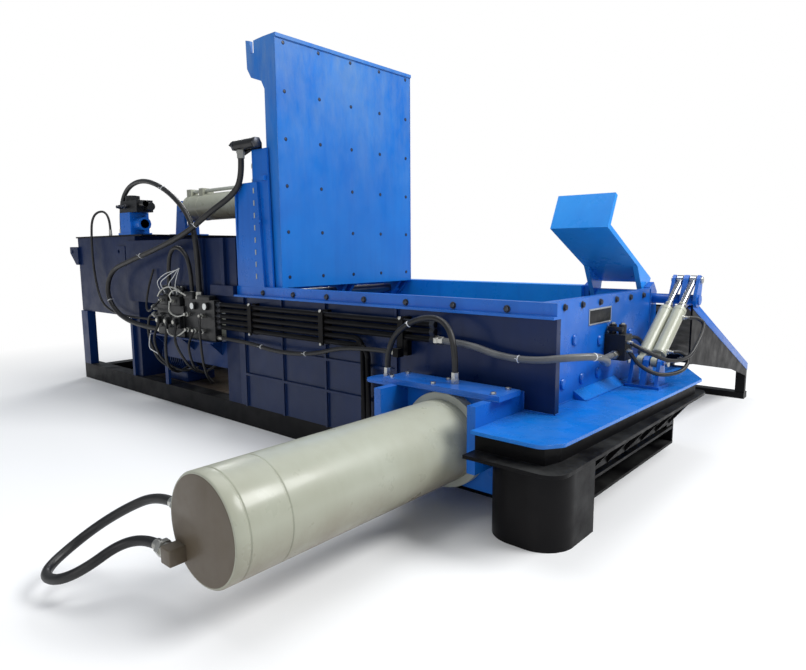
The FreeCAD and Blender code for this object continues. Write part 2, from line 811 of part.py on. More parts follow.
def end_wall():
    """The thick wall that closes the bale chamber, with its plug welds in two rows."""
    y = (near_inner, far_inner)
    pieces = [block("end_wall_sheet", (end_wall_left, end_face), y, (rail_height, end_wall_top))]
    spots = [(-532, 1017), (222, 1014), (-143, 973), (401, 966), (-683, 751), (-410, 746), (-157, 748)]
    for number, spot in enumerate(spots):
        pieces.append(
            prism("plug_weld_%d" % (number + 1), "X", spot, end_face, end_face + boss_height, boss_radius, 8)
        )
    finish(welded("end_wall", pieces))


def wall_bolts():
    """Hexagon heads of the liner bolts along the near rim and across the end wall."""
    seats = []
    first, last, count = 484, 2943, 7
    for number in range(count):
        x = first + (last - first) * number / (count - 1)
        seats.append((x, near, rim_bolt_height))
    near_heads = hexagon_heads("near_rim_heads", seats, vector(0, -1, 0))
    seats = []
    for y in (-683, -431, -150, 126, 390, 657):
        seats.append((end_face, y, rim_bolt_height))
    end_heads = hexagon_heads("end_wall_heads", seats, vector(1, 0, 0))
    finish(group("wall_bolts", [near_heads, end_heads]))


def nameplate():
    """A bare plate on the end wall."""
    finish(block("nameplate", (end_face, end_face + 4), (-328, 37), (1090, 1201)))


# ---------------------------------------------------------------- deck round the chamber end
def deck_outline(inset):
    """The deck's outer outline, moved inwards by inset, and its inner edge along the walls."""
    right_wall = side_centre + cheek_gap / 2 + cheek_thickness
    return [
        (right_wall, deck_near + inset), (deck_corner_x, deck_near + inset),
        (deck_right_near - inset, deck_corner_y + inset), (deck_right_far - inset, deck_far_corner),
        (deck_far_x, deck_far - inset), (end_face, deck_far - inset), (end_face, near_inner),
        (wall_right, near_inner), (wall_right, near), (right_wall, near),
    ]


def deck():
    """The deck plate on top, which wraps the corner, and the sloped strip welded to it."""
    outline = deck_outline(term(0))
    rounds = [((1, 2), deck_round)]
    sheet_metal = plate("deck_sheet", "Z", outline, deck_top - deck_plate_thickness, deck_top, rounds=rounds)
    outline = [
        (end_face, deck_top), (end_face + strip_depth, deck_top), (end_face, deck_top + strip_height),
    ]
    strip = plate("deck_strip", "Y", outline, strip_near, strip_far)
    finish(welded("deck_plate", [sheet_metal, strip]))


def deck_skirt():
    """What carries the deck: a web, a wide flange, and a skirt with gussets down to the skid."""
    web = plate("deck_web", "Z", deck_outline(web_inset), flange_top, deck_top - deck_plate_thickness)
    right_wall = side_centre + cheek_gap / 2 + cheek_thickness
    skid_end = base_length / 2
    outline = [
        (right_wall, flange_near), (flange_right, flange_near), (flange_right, flange_far),
        (skid_end, flange_far), (skid_end, near_inner), (wall_right, near_inner), (wall_right, near),
        (right_wall, near),
    ]
    rounds = [((1, 2), flange_round)]
    flange = plate("wide_flange", "Z", outline, flange_top - flange_thickness, flange_top, rounds=rounds)
    joint = block("flange_tie", (end_face, skid_end), (near_inner, flange_far), (flange_top - flange_thickness, flange_top))
    skirt = block("skirt_sheet", (skid_end - rail_wall, skid_end), (near, far), (rail_height, flange_top - flange_thickness))
    pieces = [web, flange, joint, skirt]
    first = near + 300
    step = (flange_far - first - skirt_rib) / (skirt_rib_count - 1)
    top = flange_top - flange_thickness
    for number in range(skirt_rib_count):
        low = first + step * number
        outline = [(skid_end, rail_height), (skid_end + skirt_rib_reach, top), (skid_end, top)]
        pieces.append(plate("skirt_rib_%d" % (number + 1), "Y", outline, low, low + skirt_rib))
    finish(welded("deck_skirt", pieces))


def near_foot():
    """The hollow foot with rounded corners under the near end of the deck."""
    def outline(inset):
        return [
            (foot_left + inset, foot_near + inset), (foot_right - inset, foot_near + inset),
            (foot_right - inset, near - 40 - inset), (foot_left + inset, near - 40 - inset),
        ]
    top = flange_top - flange_thickness
    body = plate("foot_outer", "Z", outline(term(0)), 0, top, rounds=[((0, 1), foot_round)])
    rounds = [((0, 1), foot_round - foot_wall)]
    hollow = plate("foot_hollow", "Z", outline(foot_wall), 0, top - foot_wall, rounds=rounds)
    finish(without("near_foot", body, hollow))


# ---------------------------------------------------------------- side press
def side_housing():
    """The cheeks, guide plates and front plate that hold the side cylinder to the box."""
    half = cheek_gap / 2
    left = side_centre - half
    right = side_centre + half
    y = (cheek_near, near)
    pieces = [
        block("left_cheek", (left - cheek_thickness, left), y, (rail_height - 40, cheek_top)),
        block("right_cheek", (right, right + cheek_thickness), (cheek_near, near), (355, cheek_top)),
        block("right_cheek_foot", (right, right + cheek_thickness), (face_plate_near, near), (rail_height - 40, 355)),
    ]
    plate_y = (face_plate_near, face_plate_near + face_plate_thickness)
    bore = ((side_centre, side_height), side_rod_radius + 20)
    outline = [
        (left, rail_height - 40), (right, rail_height - 40), (right, cheek_top), (left, cheek_top),
    ]
    pieces.append(plate("side_face_plate", "Y", outline, *plate_y, holes=[bore]))
    guide_y = (plate_y[1], near)
    pieces.append(block("guide_bottom", (left, right), guide_y, (rail_height - 40, rail_height)))
    roof = rail_height + side_ram_height + guide_gap
    pieces.append(block("guide_top", (left, right), guide_y, (roof, cheek_top)))
    shelf = [(2039, -1337), (2039, -1112), (left - cheek_thickness, -1112), (left - cheek_thickness, -1337)]
    pieces.append(plate("hose_shelf", "Z", shelf, 728, cheek_top, rounds=[((0, 1), term(80))]))
    finish(welded("side_housing", pieces))


def keeper_bar():
    """The heavy bar across the top of the cheeks."""
    y = (keeper_near, keeper_near + keeper_width)
    finish(block("keeper_bar", (keeper_left, keeper_right), y, (cheek_top, cheek_top + keeper_thickness)))


def side_cylinder():
    """The side press barrel, closed at its outer end, with a front flange."""
    length = face_plate_near - side_end
    profile = [
        (0, 0), (side_radius, 0), (side_radius, length - side_flange),
        (side_flange_radius, length - side_flange), (side_flange_radius, length),
        (side_rod_radius + rod_gap, length), (side_rod_radius + rod_gap, length - side_flange),
        (side_bore, length - side_flange), (side_bore, side_cap), (0, side_cap),
    ]
    barrel = turned("side_barrel", profile, TURNS["Y"], side_centre, side_end, side_height)
    side_x = side_centre - side_radius
    rear = block("side_rear_port", (side_x - 35, side_x + 25), (side_end + 45, side_end + 125), (395, 475))
    cap = block("side_cap_port", (2480, 2560), (side_end - 80, side_end + 5), (255, 335))
    finish(welded("side_cylinder", [barrel, rear, cap]))


def side_moving():
    """The piston and rod of the side press, and the ram on its end."""
    ram_near = near - side_ram_length + wall_thickness
    back = side_end + side_cap + piston_rest * 2
    rod_length = ram_near - back
    profile = [
        (0, 0), (side_bore - piston_gap, 0), (side_bore - piston_gap, piston_length),
        (side_rod_radius, piston_length), (side_rod_radius, rod_length), (0, rod_length),
    ]
    finish(turned("side_rod", profile, TURNS["Y"], side_centre, back, side_height))
    half = side_ram_width / 2
    x = (side_centre - half, side_centre + half)
    z = (rail_height + ram_gap, rail_height + side_ram_height)
    face = block("side_ram_block", x, (ram_near, near_inner), z)
    pocket_x = (x[0] + ram_wall, side_centre - side_rod_radius - ram_wall)
    other_x = (side_centre + side_rod_radius + ram_wall, x[1] - ram_wall)
    pocket_z = (z[0] + ram_wall, z[1] - ram_wall)
    pocket_y = (ram_near, near_inner - ram_wall)
    pockets = group(
        "side_ram_pockets",
        [block("side_pocket_1", pocket_x, pocket_y, pocket_z), block("side_pocket_2", other_x, pocket_y, pocket_z)],
    )
    finish(without("side_ram", face, pockets))


# ---------------------------------------------------------------- main press
def main_cylinder():
    """The main press barrel with a rear flange on the crosshead and a front foot on the floor."""
    start = crosshead_left + crosshead_thickness
    length = main_end - start
    profile = [
        (0, 0), (main_flange_radius, 0), (main_flange_radius, main_flange), (main_radius, main_flange),
        (main_radius, length), (main_rod_radius + rod_gap, length), (main_rod_radius + rod_gap, length - main_flange),
        (main_bore, length - main_flange), (main_bore, main_flange), (0, main_flange),
    ]
    middle = (near_inner + far_inner) / 2
    barrel = turned("main_barrel", profile, TURNS["X"], start, middle, main_height)
    foot = block(
        "main_foot", (main_end - 200, main_end - 160), (middle - main_radius, middle + main_radius),
        (rail_height, main_height - main_bore - 20),
    )
    finish(welded("main_cylinder", [barrel, foot]))


def main_moving():
    """The main piston and rod, and the hollow ram that packs the scrap."""
    middle = (near_inner + far_inner) / 2
    start = crosshead_left + crosshead_thickness + main_flange + piston_rest
    length = ram_left - start
    profile = [
        (0, 0), (main_bore - piston_gap, 0), (main_bore - piston_gap, piston_length),
        (main_rod_radius, piston_length), (main_rod_radius, length), (0, length),
    ]
    finish(turned("main_rod", profile, TURNS["X"], start, middle, main_height))
    y = (near_inner + ram_side_gap, far_inner - ram_side_gap)
    z = (rail_height + ram_gap, ram_top)
    body = block("main_ram_block", (ram_left, ram_face), y, z)
    pockets = []
    for number, span in enumerate(((y[0] + ram_wall, middle - main_radius), (middle + main_radius, y[1] - ram_wall))):
        x = (ram_left, ram_face - ram_wall * 2)
        pockets.append(block("main_pocket_%d" % (number + 1), x, span, (z[0] + ram_wall, z[1] - ram_wall)))
    finish(without("main_ram", body, group("main_ram_pockets", pockets)))


# ---------------------------------------------------------------- lid and its drive
def lid():
    """The lid, open: a liner plate on a grid of ribs, with hinge lugs, a cylinder fork and an ear."""
    y = (near_inner + lid_side_gap, far_inner - lid_side_gap)
    back = lid_face - lid_thickness
    skin = lid_face - lid_skin
    pieces = [block("lid_skin_plate", (skin, lid_face), y, (lid_bottom, lid_top))]
    ribs = [
        ("lid_near_edge", (y[0], y[0] + lid_skin), (lid_bottom, lid_top)),
        ("lid_far_edge", (y[1] - lid_skin, y[1]), (lid_bottom, lid_top)),
        ("lid_bottom_edge", y, (lid_bottom, lid_bottom + lid_skin)),
        ("lid_top_edge", y, (lid_top - lid_skin, lid_top)),
    ]
    for number in range(2):
        middle = y[0] + (y[1] - y[0]) * (number + 1) / 3
        height = lid_bottom + (lid_top - lid_bottom) * (number + 1) / 3
        ribs.append(("lid_upright_%d" % (number + 1), (middle, middle + lid_skin), (lid_bottom, lid_top)))
        ribs.append(("lid_cross_%d" % (number + 1), y, (height, height + lid_skin)))
    for name, across, tall in ribs:
        pieces.append(block(name, (back, skin), across, tall))
    pieces.append(block("lid_lip", (lid_face, lid_face + lip_reach), y, (lid_top - lid_skin, lid_top)))
    pieces += hinge_lugs(back)
    pieces += cylinder_fork(back)
    pieces.append(lid_ear(y[0], back))
    finish(welded("lid", pieces))


def hinge_lugs(back):
    """Pairs of lugs that hold the hinge pin on both sides of each bearing."""
    lugs = []
    bore = ((hinge_x, hinge_z), hinge_pin_radius - pin_fit / 2)
    for number in range(3):
        middle = (near_inner + far_inner) / 2 + (number - 1) * bearing_pitch
        for side in (-1, 1):
            inner = middle + side * (bearing_width / 2 + hinge_lug_gap)
            outer = inner + side * hinge_lug_width
            low, high = (inner, outer) if side > 0 else (outer, inner)
            outline = [
                (hinge_x - hinge_lug_radius * 0.8, hinge_z - hinge_lug_radius * 0.35),
                (hinge_x - hinge_lug_radius * 0.35, hinge_z - hinge_lug_radius * 0.8),
                (hinge_x + hinge_lug_radius * 0.35, hinge_z - hinge_lug_radius * 0.8),
                (hinge_x + hinge_lug_radius * 0.8, hinge_z - hinge_lug_radius * 0.35),
                (lid_face - lid_skin, lid_bottom), (lid_face - lid_skin, lid_bottom + hinge_lug_radius),
                (back, lid_bottom + hinge_lug_radius * 2.5),
                (hinge_x - hinge_lug_radius * 0.8, hinge_z + hinge_lug_radius * 0.5),
            ]
            name = "hinge_lug_%d_%s" % (number + 1, "near" if side < 0 else "far")
            lugs.append(plate(name, "Y", outline, low, high, holes=[bore]))
    return lugs


def cylinder_fork(back):
    """Two plates on the back of the lid with the pin heads that hold the lid cylinder's eye."""
    middle = (near_inner + far_inner) / 2
    inner = lid_eye_width / 2 + fork_gap
    plates = []
    for side in (-1, 1):
        near_face = middle + side * inner
        far_face = near_face + side * fork_plate
        low, high = (near_face, far_face) if side > 0 else (far_face, near_face)
        outline = [
            (lid_pin_x - lid_eye_radius * 0.9, lid_pivot_z - lid_eye_radius * 0.4),
            (lid_pin_x - lid_eye_radius * 0.4, lid_pivot_z - lid_eye_radius * 0.9),
            (lid_pin_x, lid_pivot_z - lid_eye_radius),
            (back, lid_pivot_z - lid_eye_radius * 2.4), (lid_face - lid_skin, lid_pivot_z - lid_eye_radius * 2.4),
            (lid_face - lid_skin, lid_pivot_z + lid_eye_radius * 2.4), (back, lid_pivot_z + lid_eye_radius * 2.4),
            (lid_pin_x, lid_pivot_z + lid_eye_radius),
            (lid_pin_x - lid_eye_radius * 0.4, lid_pivot_z + lid_eye_radius * 0.9),
            (lid_pin_x - lid_eye_radius * 0.9, lid_pivot_z + lid_eye_radius * 0.4),
        ]
        side_name = "near" if side < 0 else "far"
        plates.append(plate("fork_plate_" + side_name, "Y", outline, low, high))
        head = (low - 20, low) if side < 0 else (high, high + 20)
        plates.append(
            prism("fork_pin_head_" + side_name, "Y", (lid_pin_x, lid_pivot_z), *head, pivot_pin_radius + 15, 8)
        )
    return plates


def lid_ear(edge, back):
    """The slotted locking ear behind the free edge of the lid."""
    top = lid_top + 16
    slot_bottom = lid_top - ear_slot_depth
    slot_right = ear_slot_left + ear_slot_width
    outline = [
        (ear_left, top), (ear_left + 8, ear_bottom), (ear_left + 60, ear_bottom - 80),
        (back - 40, ear_root + 70), (back, ear_root), (back, lid_top), (slot_right, lid_top - 6),
        (slot_right, slot_bottom), (ear_slot_left, slot_bottom), (ear_slot_left, lid_top),
    ]
    return plate("lid_ear", "Y", outline, edge, edge + lid_skin)


def lid_liner_bolts():
    """Countersunk bolt heads that hold the liner to the lid, in columns and rows."""
    low = near_inner + lid_side_gap + liner_side_margin
    high = far_inner - lid_side_gap - liner_side_margin + 15
    bottom = lid_bottom + liner_bottom_margin
    top = lid_top - liner_top_margin
    seats = []
    for column in range(liner_columns):
        for row in range(liner_rows):
            y = low + (high - low) * column / (liner_columns - 1)
            z = bottom + (top - bottom) * row / (liner_rows - 1)
            seats.append((lid_face, y, z))
    heads = hexagon_heads("lid_liner_bolts", seats, vector(1, 0, 0), liner_bolt_across, liner_bolt_height)
    finish(heads)


def lid_hinge_pin():
    """The one long pin through all the lugs and bearings."""
    middle = (near_inner + far_inner) / 2
    reach = bearing_pitch + bearing_width / 2 + hinge_lug_gap + hinge_lug_width
    finish(round_bar("lid_hinge_pin", "Y", (hinge_x, hinge_z), middle - reach, middle + reach,
                     hinge_pin_radius - pin_fit / 2))


def lid_drive():
    """The lid cylinder's barrel and rod, each with an eye, along one straight line."""
    middle = (near_inner + far_inner) / 2
    end = lid_pin_x - lid_pivot_x - lid_rod_neck - lid_rod_show
    profile = [
        (0, lid_barrel_start), (lid_barrel_radius, lid_barrel_start), (lid_barrel_radius, end),
        (lid_rod_radius + rod_gap, end), (lid_rod_radius + rod_gap, end - 100), (lid_barrel_bore, end - 100),
        (lid_barrel_bore, lid_barrel_start + 100), (0, lid_barrel_start + 100),
    ]
    barrel = turned("lid_barrel_tube", profile, TURNS["X"], lid_pivot_x, middle, lid_pivot_z)
    eye_y = (middle - lid_eye_width / 2, middle + lid_eye_width / 2)
    half = lid_eye_radius * 0.7
    eye = round_bar("lid_barrel_eye", "Y", (lid_pivot_x, lid_pivot_z), *eye_y, lid_eye_radius)
    neck_x = (lid_pivot_x, lid_pivot_x + lid_barrel_start)
    neck = block("lid_barrel_neck", neck_x, eye_y, (lid_pivot_z - half, lid_pivot_z + half))
    hole = round_bar("lid_barrel_bore_tool", "Y", (lid_pivot_x, lid_pivot_z), *eye_y, pivot_pin_radius + pin_fit)
    saddle_x = (lid_pivot_x + 420, lid_pivot_x + 500)
    saddle = block("lid_pipe_saddle", saddle_x, (middle - 90, middle + 60),
                   (lid_pivot_z + lid_barrel_radius - 30, lid_pivot_z + lid_barrel_radius + 60))
    pipe = prism("lid_cylinder_pipe", "X", (middle - 40, lid_pivot_z + lid_barrel_radius + 30),
                 lid_pivot_x + 180, lid_pivot_x + end - 60, 20, 6)
    port = block("lid_front_port", (lid_pivot_x + end - 110, lid_pivot_x + end - 20), (middle - 90, middle + 10),
                 (lid_pivot_z + lid_barrel_radius - 30, lid_pivot_z + lid_barrel_radius + 60))
    rear = block("lid_rear_port", (lid_pivot_x + 150, lid_pivot_x + 240), (middle - 90, middle + 10),
                 (lid_pivot_z + lid_barrel_radius - 30, lid_pivot_z + lid_barrel_radius + 60))
    solid = welded("lid_barrel_solid", [barrel, eye, neck, saddle, pipe, port, rear])
    finish(without("lid_barrel", solid, hole))

    reach = lid_pin_x - lid_pivot_x
    back = lid_barrel_start + 140
    profile = [
        (0, back), (lid_barrel_bore - piston_gap, back), (lid_barrel_bore - piston_gap, back + piston_length),
        (lid_rod_radius, back + piston_length), (lid_rod_radius, reach - lid_rod_neck),
        (0, reach - lid_rod_neck),
    ]
    rod = turned("lid_rod_shaft", profile, TURNS["X"], lid_pivot_x, middle, lid_pivot_z)
    shank_z = (lid_pivot_z - lid_rod_radius * 0.65, lid_pivot_z + lid_rod_radius * 0.65)
    shank = block("lid_rod_shank", (lid_pin_x - lid_rod_neck - 10, lid_pin_x), eye_y, shank_z)
    tip = round_bar("lid_rod_eye", "Y", (lid_pin_x, lid_pivot_z), *eye_y, lid_eye_radius)
    tip_hole = round_bar("lid_rod_bore_tool", "Y", (lid_pin_x, lid_pivot_z), *eye_y, pivot_pin_radius)
    finish(without("lid_rod", welded("lid_rod_solid", [rod, shank, tip]), tip_hole))


def lid_cylinder_bracket():
    """The fork on the tank cover that carries the lid cylinder on a pin."""
    middle = (near_inner + far_inner) / 2
    foot = tank_top + cover_thickness
    pieces = [block("bracket_foot", (lid_pivot_x - 170, lid_pivot_x + 170), (middle - 170, middle + 170),
                    (foot, foot + 25))]
    for side in (-1, 1):
        inner = middle + side * (lid_eye_width / 2 + fork_gap)
        outer = inner + side * fork_plate
        low, high = (inner, outer) if side > 0 else (outer, inner)
        outline = [
            (lid_pivot_x - 150, foot + 25), (lid_pivot_x + 85, foot + 25),
            (lid_pivot_x + 60, lid_pivot_z + 40), (lid_pivot_x + 35, lid_pivot_z + 90),
            (lid_pivot_x - 35, lid_pivot_z + 90), (lid_pivot_x - 90, lid_pivot_z + 40),
        ]
        pieces.append(plate("bracket_cheek_%s" % ("near" if side < 0 else "far"), "Y", outline, low, high))
    reach = lid_eye_width / 2 + fork_gap + fork_plate + 20
    pieces.append(
        prism("bracket_pin", "Y", (lid_pivot_x, lid_pivot_z), middle - reach, middle + reach, pivot_pin_radius, 16)
    )
    finish(welded("lid_cylinder_bracket", pieces))


# ---------------------------------------------------------------- tower
def tower():
    """The guide tower: a stepped outer plate, a taller inner mast and the lid's stop block."""
    outer = [(tower_left, rim_top), (tower_top_left, tower_top), (tower_top_right, tower_top), (tower_right, rim_top)]
    inner = [(mast_left, rim_top), (mast_left, mast_top), (mast_top_right, mast_top), (mast_right, rim_top)]
    y = near + side_plate
    pieces = [
        plate("tower_outer", "Y", outer, near, y),
        plate("tower_mast", "Y", inner, y, y + mast_thickness),
        prism("tower_bolt", "Y", (mast_left + 119, tower_top - 340), near - 16, near, 22, 6),
    ]
    stop_y = (near, near_inner + lid_side_gap - stop_gap)
    stop_x_range = (stop_x - stop_size / 2, stop_x + stop_size / 2)
    stop_z_range = (stop_z - stop_size / 3, stop_z + stop_size / 3)
    pieces.append(block("lid_stop", stop_x_range, stop_y, stop_z_range))
    pieces.append(block("tower_flange", (tower_left, tower_left + 20), (near, near_inner), (rim_top, tower_top * 0.98)))
    finish(welded("tower", pieces))


def tower_bracket():
    """The pointed hose bracket and pipe coupling on top of the tower."""
    outline = [
        (474, mast_top), (330, mast_top), (230, mast_top - 30), (39, 2535), (80, 2560), (300, mast_top + 60),
        (474, mast_top + 50),
    ]
    y = near + side_plate
    arm = plate("bracket_arm", "Y", outline, y - mast_thickness, y + mast_thickness)
    coupling = prism("pipe_coupling", "X", (y - 54, mast_top + 45), 215, 480, 42, 12)
    finish(welded("tower_bracket", [arm, coupling]))


# ---------------------------------------------------------------- turn-out arm and drive
def turnout_arm():
    """The bent plate that lifts the bale out, with gusset arms to hubs on its shaft."""
    c = cosine(arm_slope)
    s = sine(arm_slope)
    foot = (arm_bend_y + arm_long * c, arm_bend_z - arm_long * s)
    tip = (arm_bend_y + arm_short * s, arm_bend_z + arm_short * c)
    up = (s * arm_plate, c * arm_plate)
    outline = [
        (arm_bend_y, arm_bend_z), foot, (foot[0] + up[0], foot[1] + up[1]),
        (arm_bend_y + arm_plate * (c + s), arm_bend_z + arm_plate * (c - s)),
        (tip[0] + arm_plate * c, tip[1] - arm_plate * s), tip,
    ]
    pieces = [plate("arm_bent_plate", "X", outline, arm_left, arm_right)]
    for name, left in (("arm_rib_left", arm_left), ("arm_rib_right", arm_right - arm_plate)):
        near_foot_point = (arm_bend_y + arm_long * 0.62 * c + up[0], arm_bend_z - arm_long * 0.62 * s + up[1])
        rib = [
            near_foot_point, foot, (shaft_y + arm_hub_radius * 0.6, shaft_z + arm_hub_radius * 0.7),
            (shaft_y + arm_hub_radius * 0.9, shaft_z), (shaft_y, shaft_z - arm_hub_radius * 0.9),
            (shaft_y - arm_hub_radius * 0.75, shaft_z - arm_hub_radius * 0.6),
        ]
        pieces.append(plate(name, "X", rib, left, left + arm_plate))
    hub = round_bar("arm_hub", "X", (shaft_y, shaft_z), arm_left, arm_right, arm_hub_radius)
    solid = welded("arm_solid", [*pieces, hub])
    bore = round_bar("arm_bore_tool", "X", (shaft_y, shaft_z), arm_left, arm_right, shaft_radius)
    finish(without("turnout_arm", solid, bore))


def crank_spans():
    """Where the crank and pedestal plates lie: outside and between the cylinders."""
    last = first_cylinder_x + cylinder_spacing * (cylinder_count - 1)
    spans = [(first_cylinder_x - crank_side_gap - crank_plate, first_cylinder_x - crank_side_gap)]
    for number in range(cylinder_count - 1):
        left = first_cylinder_x + cylinder_spacing * number
        spans.append((left + crank_side_gap, left + cylinder_spacing - crank_side_gap))
    spans.append((last + crank_side_gap, last + crank_side_gap + crank_plate))
    return spans


def turnout_shaft():
    """The shaft beyond the far wall with its crank plates and pin heads."""
    pieces = [round_bar("shaft_bar", "X", (shaft_y, shaft_z), shaft_left, shaft_right, shaft_radius)]
    pin_y = shaft_y + crank_radius * cosine(crank_angle)
    pin_z = shaft_z + crank_radius * sine(crank_angle)
    for number, (left, right) in enumerate(crank_spans()):
        pieces.append(crank("crank_%d" % (number + 1), left, right, pin_y, pin_z))
    finish(welded("turnout_shaft", pieces))


def crank(name, left, right, pin_y, pin_z):
    """One crank plate: two straight flanks round the shaft and the pin."""
    c = cosine(crank_angle)
    s = sine(crank_angle)

    def spot(y, z, along, aside):
        return (y + along * c - aside * s, z + along * s + aside * c)

    outline = [
        spot(shaft_y, shaft_z, -crank_hub * 0.9, -crank_hub * 0.4), spot(shaft_y, shaft_z, -crank_hub * 0.4, -crank_hub * 0.9),
        spot(shaft_y, shaft_z, crank_hub * 0.2, -crank_hub), spot(pin_y, pin_z, term(0), -crank_boss),
        spot(pin_y, pin_z, crank_boss * 0.8, -crank_boss * 0.6), spot(pin_y, pin_z, crank_boss * 0.8, crank_boss * 0.6),
        spot(pin_y, pin_z, term(0), crank_boss), spot(shaft_y, shaft_z, crank_hub * 0.2, crank_hub),
        spot(shaft_y, shaft_z, -crank_hub * 0.4, crank_hub * 0.9), spot(shaft_y, shaft_z, -crank_hub * 0.9, crank_hub * 0.4),
    ]
    return plate(name, "X", outline, left, right)


def turnout_cylinders():
    """Two equal cylinders side by side: their barrels as one node and their rods as another."""
    tilt = FreeCAD.Rotation(AXES["X"], cylinder_slope.value - 90)
    barrels = []
    rods = []
    for number in range(cylinder_count):
        x = first_cylinder_x + cylinder_spacing * number
        eye_x = (x - eye_width / 2, x + eye_width / 2)
        profile = [
            (0, cylinder_start), (cylinder_radius, cylinder_start), (cylinder_radius, cylinder_shoulder),
            (gland_radius, cylinder_shoulder), (gland_radius, cylinder_gland),
            (cylinder_rod_radius + rod_gap, cylinder_gland), (cylinder_rod_radius + rod_gap, cylinder_shoulder - 20),
            (cylinder_bore, cylinder_shoulder - 20), (cylinder_bore, cylinder_start + 30), (0, cylinder_start + 30),
        ]
        tube = turned("turnout_tube_%d" % (number + 1), profile, tilt, x, pivot_y, pivot_z)
        neck_half = eye_width / 2
        flank = [(-neck_half, 0), (neck_half, 0), (neck_half, cylinder_start + 5), (-neck_half, cylinder_start + 5)]
        neck = plate("turnout_neck_%d" % (number + 1), "Y", flank, -neck_half * 0.8, neck_half * 0.8)
        neck.Placement.Rotation = tilt
        place(neck, x, pivot_y, pivot_z)
        eye = round_bar("turnout_eye_%d" % (number + 1), "X", (pivot_y, pivot_z), *eye_x, eye_radius)
        hole = round_bar("turnout_eye_hole_%d" % (number + 1), "X", (pivot_y, pivot_z), *eye_x, eye_bore + pin_fit)
        solid = welded("turnout_barrel_solid_%d" % (number + 1), [tube, neck, eye])
        barrels.append(without("turnout_barrel_%d" % (number + 1), solid, hole))

        c = cosine(cylinder_slope)
        s = sine(cylinder_slope)
        pin = (pivot_y + cylinder_reach * c, pivot_z + cylinder_reach * s)
        profile = [
            (0, rod_start), (cylinder_bore - rod_gap, rod_start), (cylinder_bore - rod_gap, rod_start + 50),
            (cylinder_rod_radius, rod_start + 50), (cylinder_rod_radius, cylinder_reach - eye_radius * 0.7),
            (0, cylinder_reach - eye_radius * 0.7),
        ]
        shaft = turned("turnout_rod_shaft_%d" % (number + 1), profile, tilt, x, pivot_y, pivot_z)
        tip = round_bar("turnout_rod_eye_%d" % (number + 1), "X", pin, *eye_x, eye_radius)
        tip_hole = round_bar("turnout_rod_hole_%d" % (number + 1), "X", pin, *eye_x, eye_bore)
        solid = welded("turnout_rod_solid_%d" % (number + 1), [shaft, tip])
        rods.append(without("turnout_rod_%d" % (number + 1), solid, tip_hole))
    finish(group("turnout_barrels", barrels))
    finish(group("turnout_rods", rods))


def turnout_pedestal():
    """The stand on the deck that carries both cylinders on one pin."""
    spans = crank_spans()
    left = spans[0][0]
    right = spans[-1][1]
    pieces = [block("pedestal_foot", (left - 15, right + 15), (pivot_y - 110, pivot_y + 90), (deck_top, deck_top + 20))]
    for number, (low, high) in enumerate(spans):
        outline = [
            (pivot_y - 100, deck_top + 20), (pivot_y + pedestal_half, deck_top + 20),
            (pivot_y + 34, pivot_z + 16), (pivot_y + 10, pivot_z + 38), (pivot_y - 20, pivot_z + 38),
            (pivot_y - 42, pivot_z + 14),
        ]
        pieces.append(plate("pedestal_cheek_%d" % (number + 1), "X", outline, low, high))
    pieces.append(prism("pedestal_pin", "X", (pivot_y, pivot_z), left - 12, right + 12, eye_bore, 16))
    finish(welded("turnout_pedestal", pieces))


# ---------------------------------------------------------------- discharge chute
def discharge_chute():
    """The sloping slide beyond the far wall, with edge strips, side webs and a foot frame."""
    c = cosine(chute_slope)
    s = sine(chute_slope)
    drop = (chute_end - chute_start) * s / c
    low = chute_height - drop
    inner = (chute_left + chute_web, chute_right - chute_web)
    skin = [
        (chute_start, chute_height - chute_skin), (chute_end, low - chute_skin), (chute_end, low),
        (chute_start, chute_height),
    ]
    pieces = [plate("chute_skin_plate", "X", skin, *inner)]
    web = [
        (chute_start, chute_height - 480), (chute_start + 90, chute_height - 490), (2500, 402),
        (chute_end, low - 90), (chute_end, low + chute_edge), (chute_start, chute_height + chute_edge),
    ]
    for name, left in (("chute_web_left", chute_left), ("chute_web_right", chute_right - chute_web)):
        pieces.append(plate(name, "X", web, left, left + chute_web))
    for number, left in enumerate((chute_left, chute_right - 92)):
        pieces.append(block("chute_leg_%d" % (number + 1), (left, left + 92), (chute_end - 60, chute_end), (chute_foot, low)))
    pieces.append(block("chute_foot_rail", (chute_left, chute_right), (chute_end - 70, chute_end + 60), (0, chute_foot)))
    tie_height = (chute_height - 470, chute_height - 60)
    for number, left in enumerate((chute_left, arm_right + guide_gap)):
        x = (left, left + 30)
        pieces.append(block("chute_tie_%d" % (number + 1), x, (post_reach, chute_start + 40), tie_height))
    bottom_y = (chute_start, chute_start + 40)
    pieces.append(block("chute_head_bar", (chute_left, chute_right), bottom_y, (tie_height[0], tie_height[0] + 60)))
    finish(welded("discharge_chute", pieces))


# ---------------------------------------------------------------- hydraulics
def pump():
    """The pump's blue foot and the black valve block on top of it."""
    foot = tank_top + cover_thickness
    x = (-2200, -1960)
    y = (-940, -720)
    body = block("pump_case", x, y, (foot, foot + 247))
    flange = block("pump_flange", (x[0] - 30, x[1] + 30), (-955, -705), (foot, foot + 22))
    nose = prism("pump_nose", "X", (-830, foot + 120), x[1], x[1] + 120, 75, 12)
    finish(welded("pump_body", [body, flange, nose]))
    top = foot + 247
    head = block("valve_head", (-2190, -1810), (-930, -740), (top, top + 130))
    cap = prism("valve_cap", "Z", (-2090, -830), top + 130, top + 190, 76, 16)
    side = prism("valve_solenoid", "X", (-880, top + 85), -1810, -1700, 34, 8)
    other = prism("valve_spool_cap", "X", (-800, top + 60), -1810, -1730, 44, 8)
    finish(welded("pump_valve", [head, cap, side, other]))


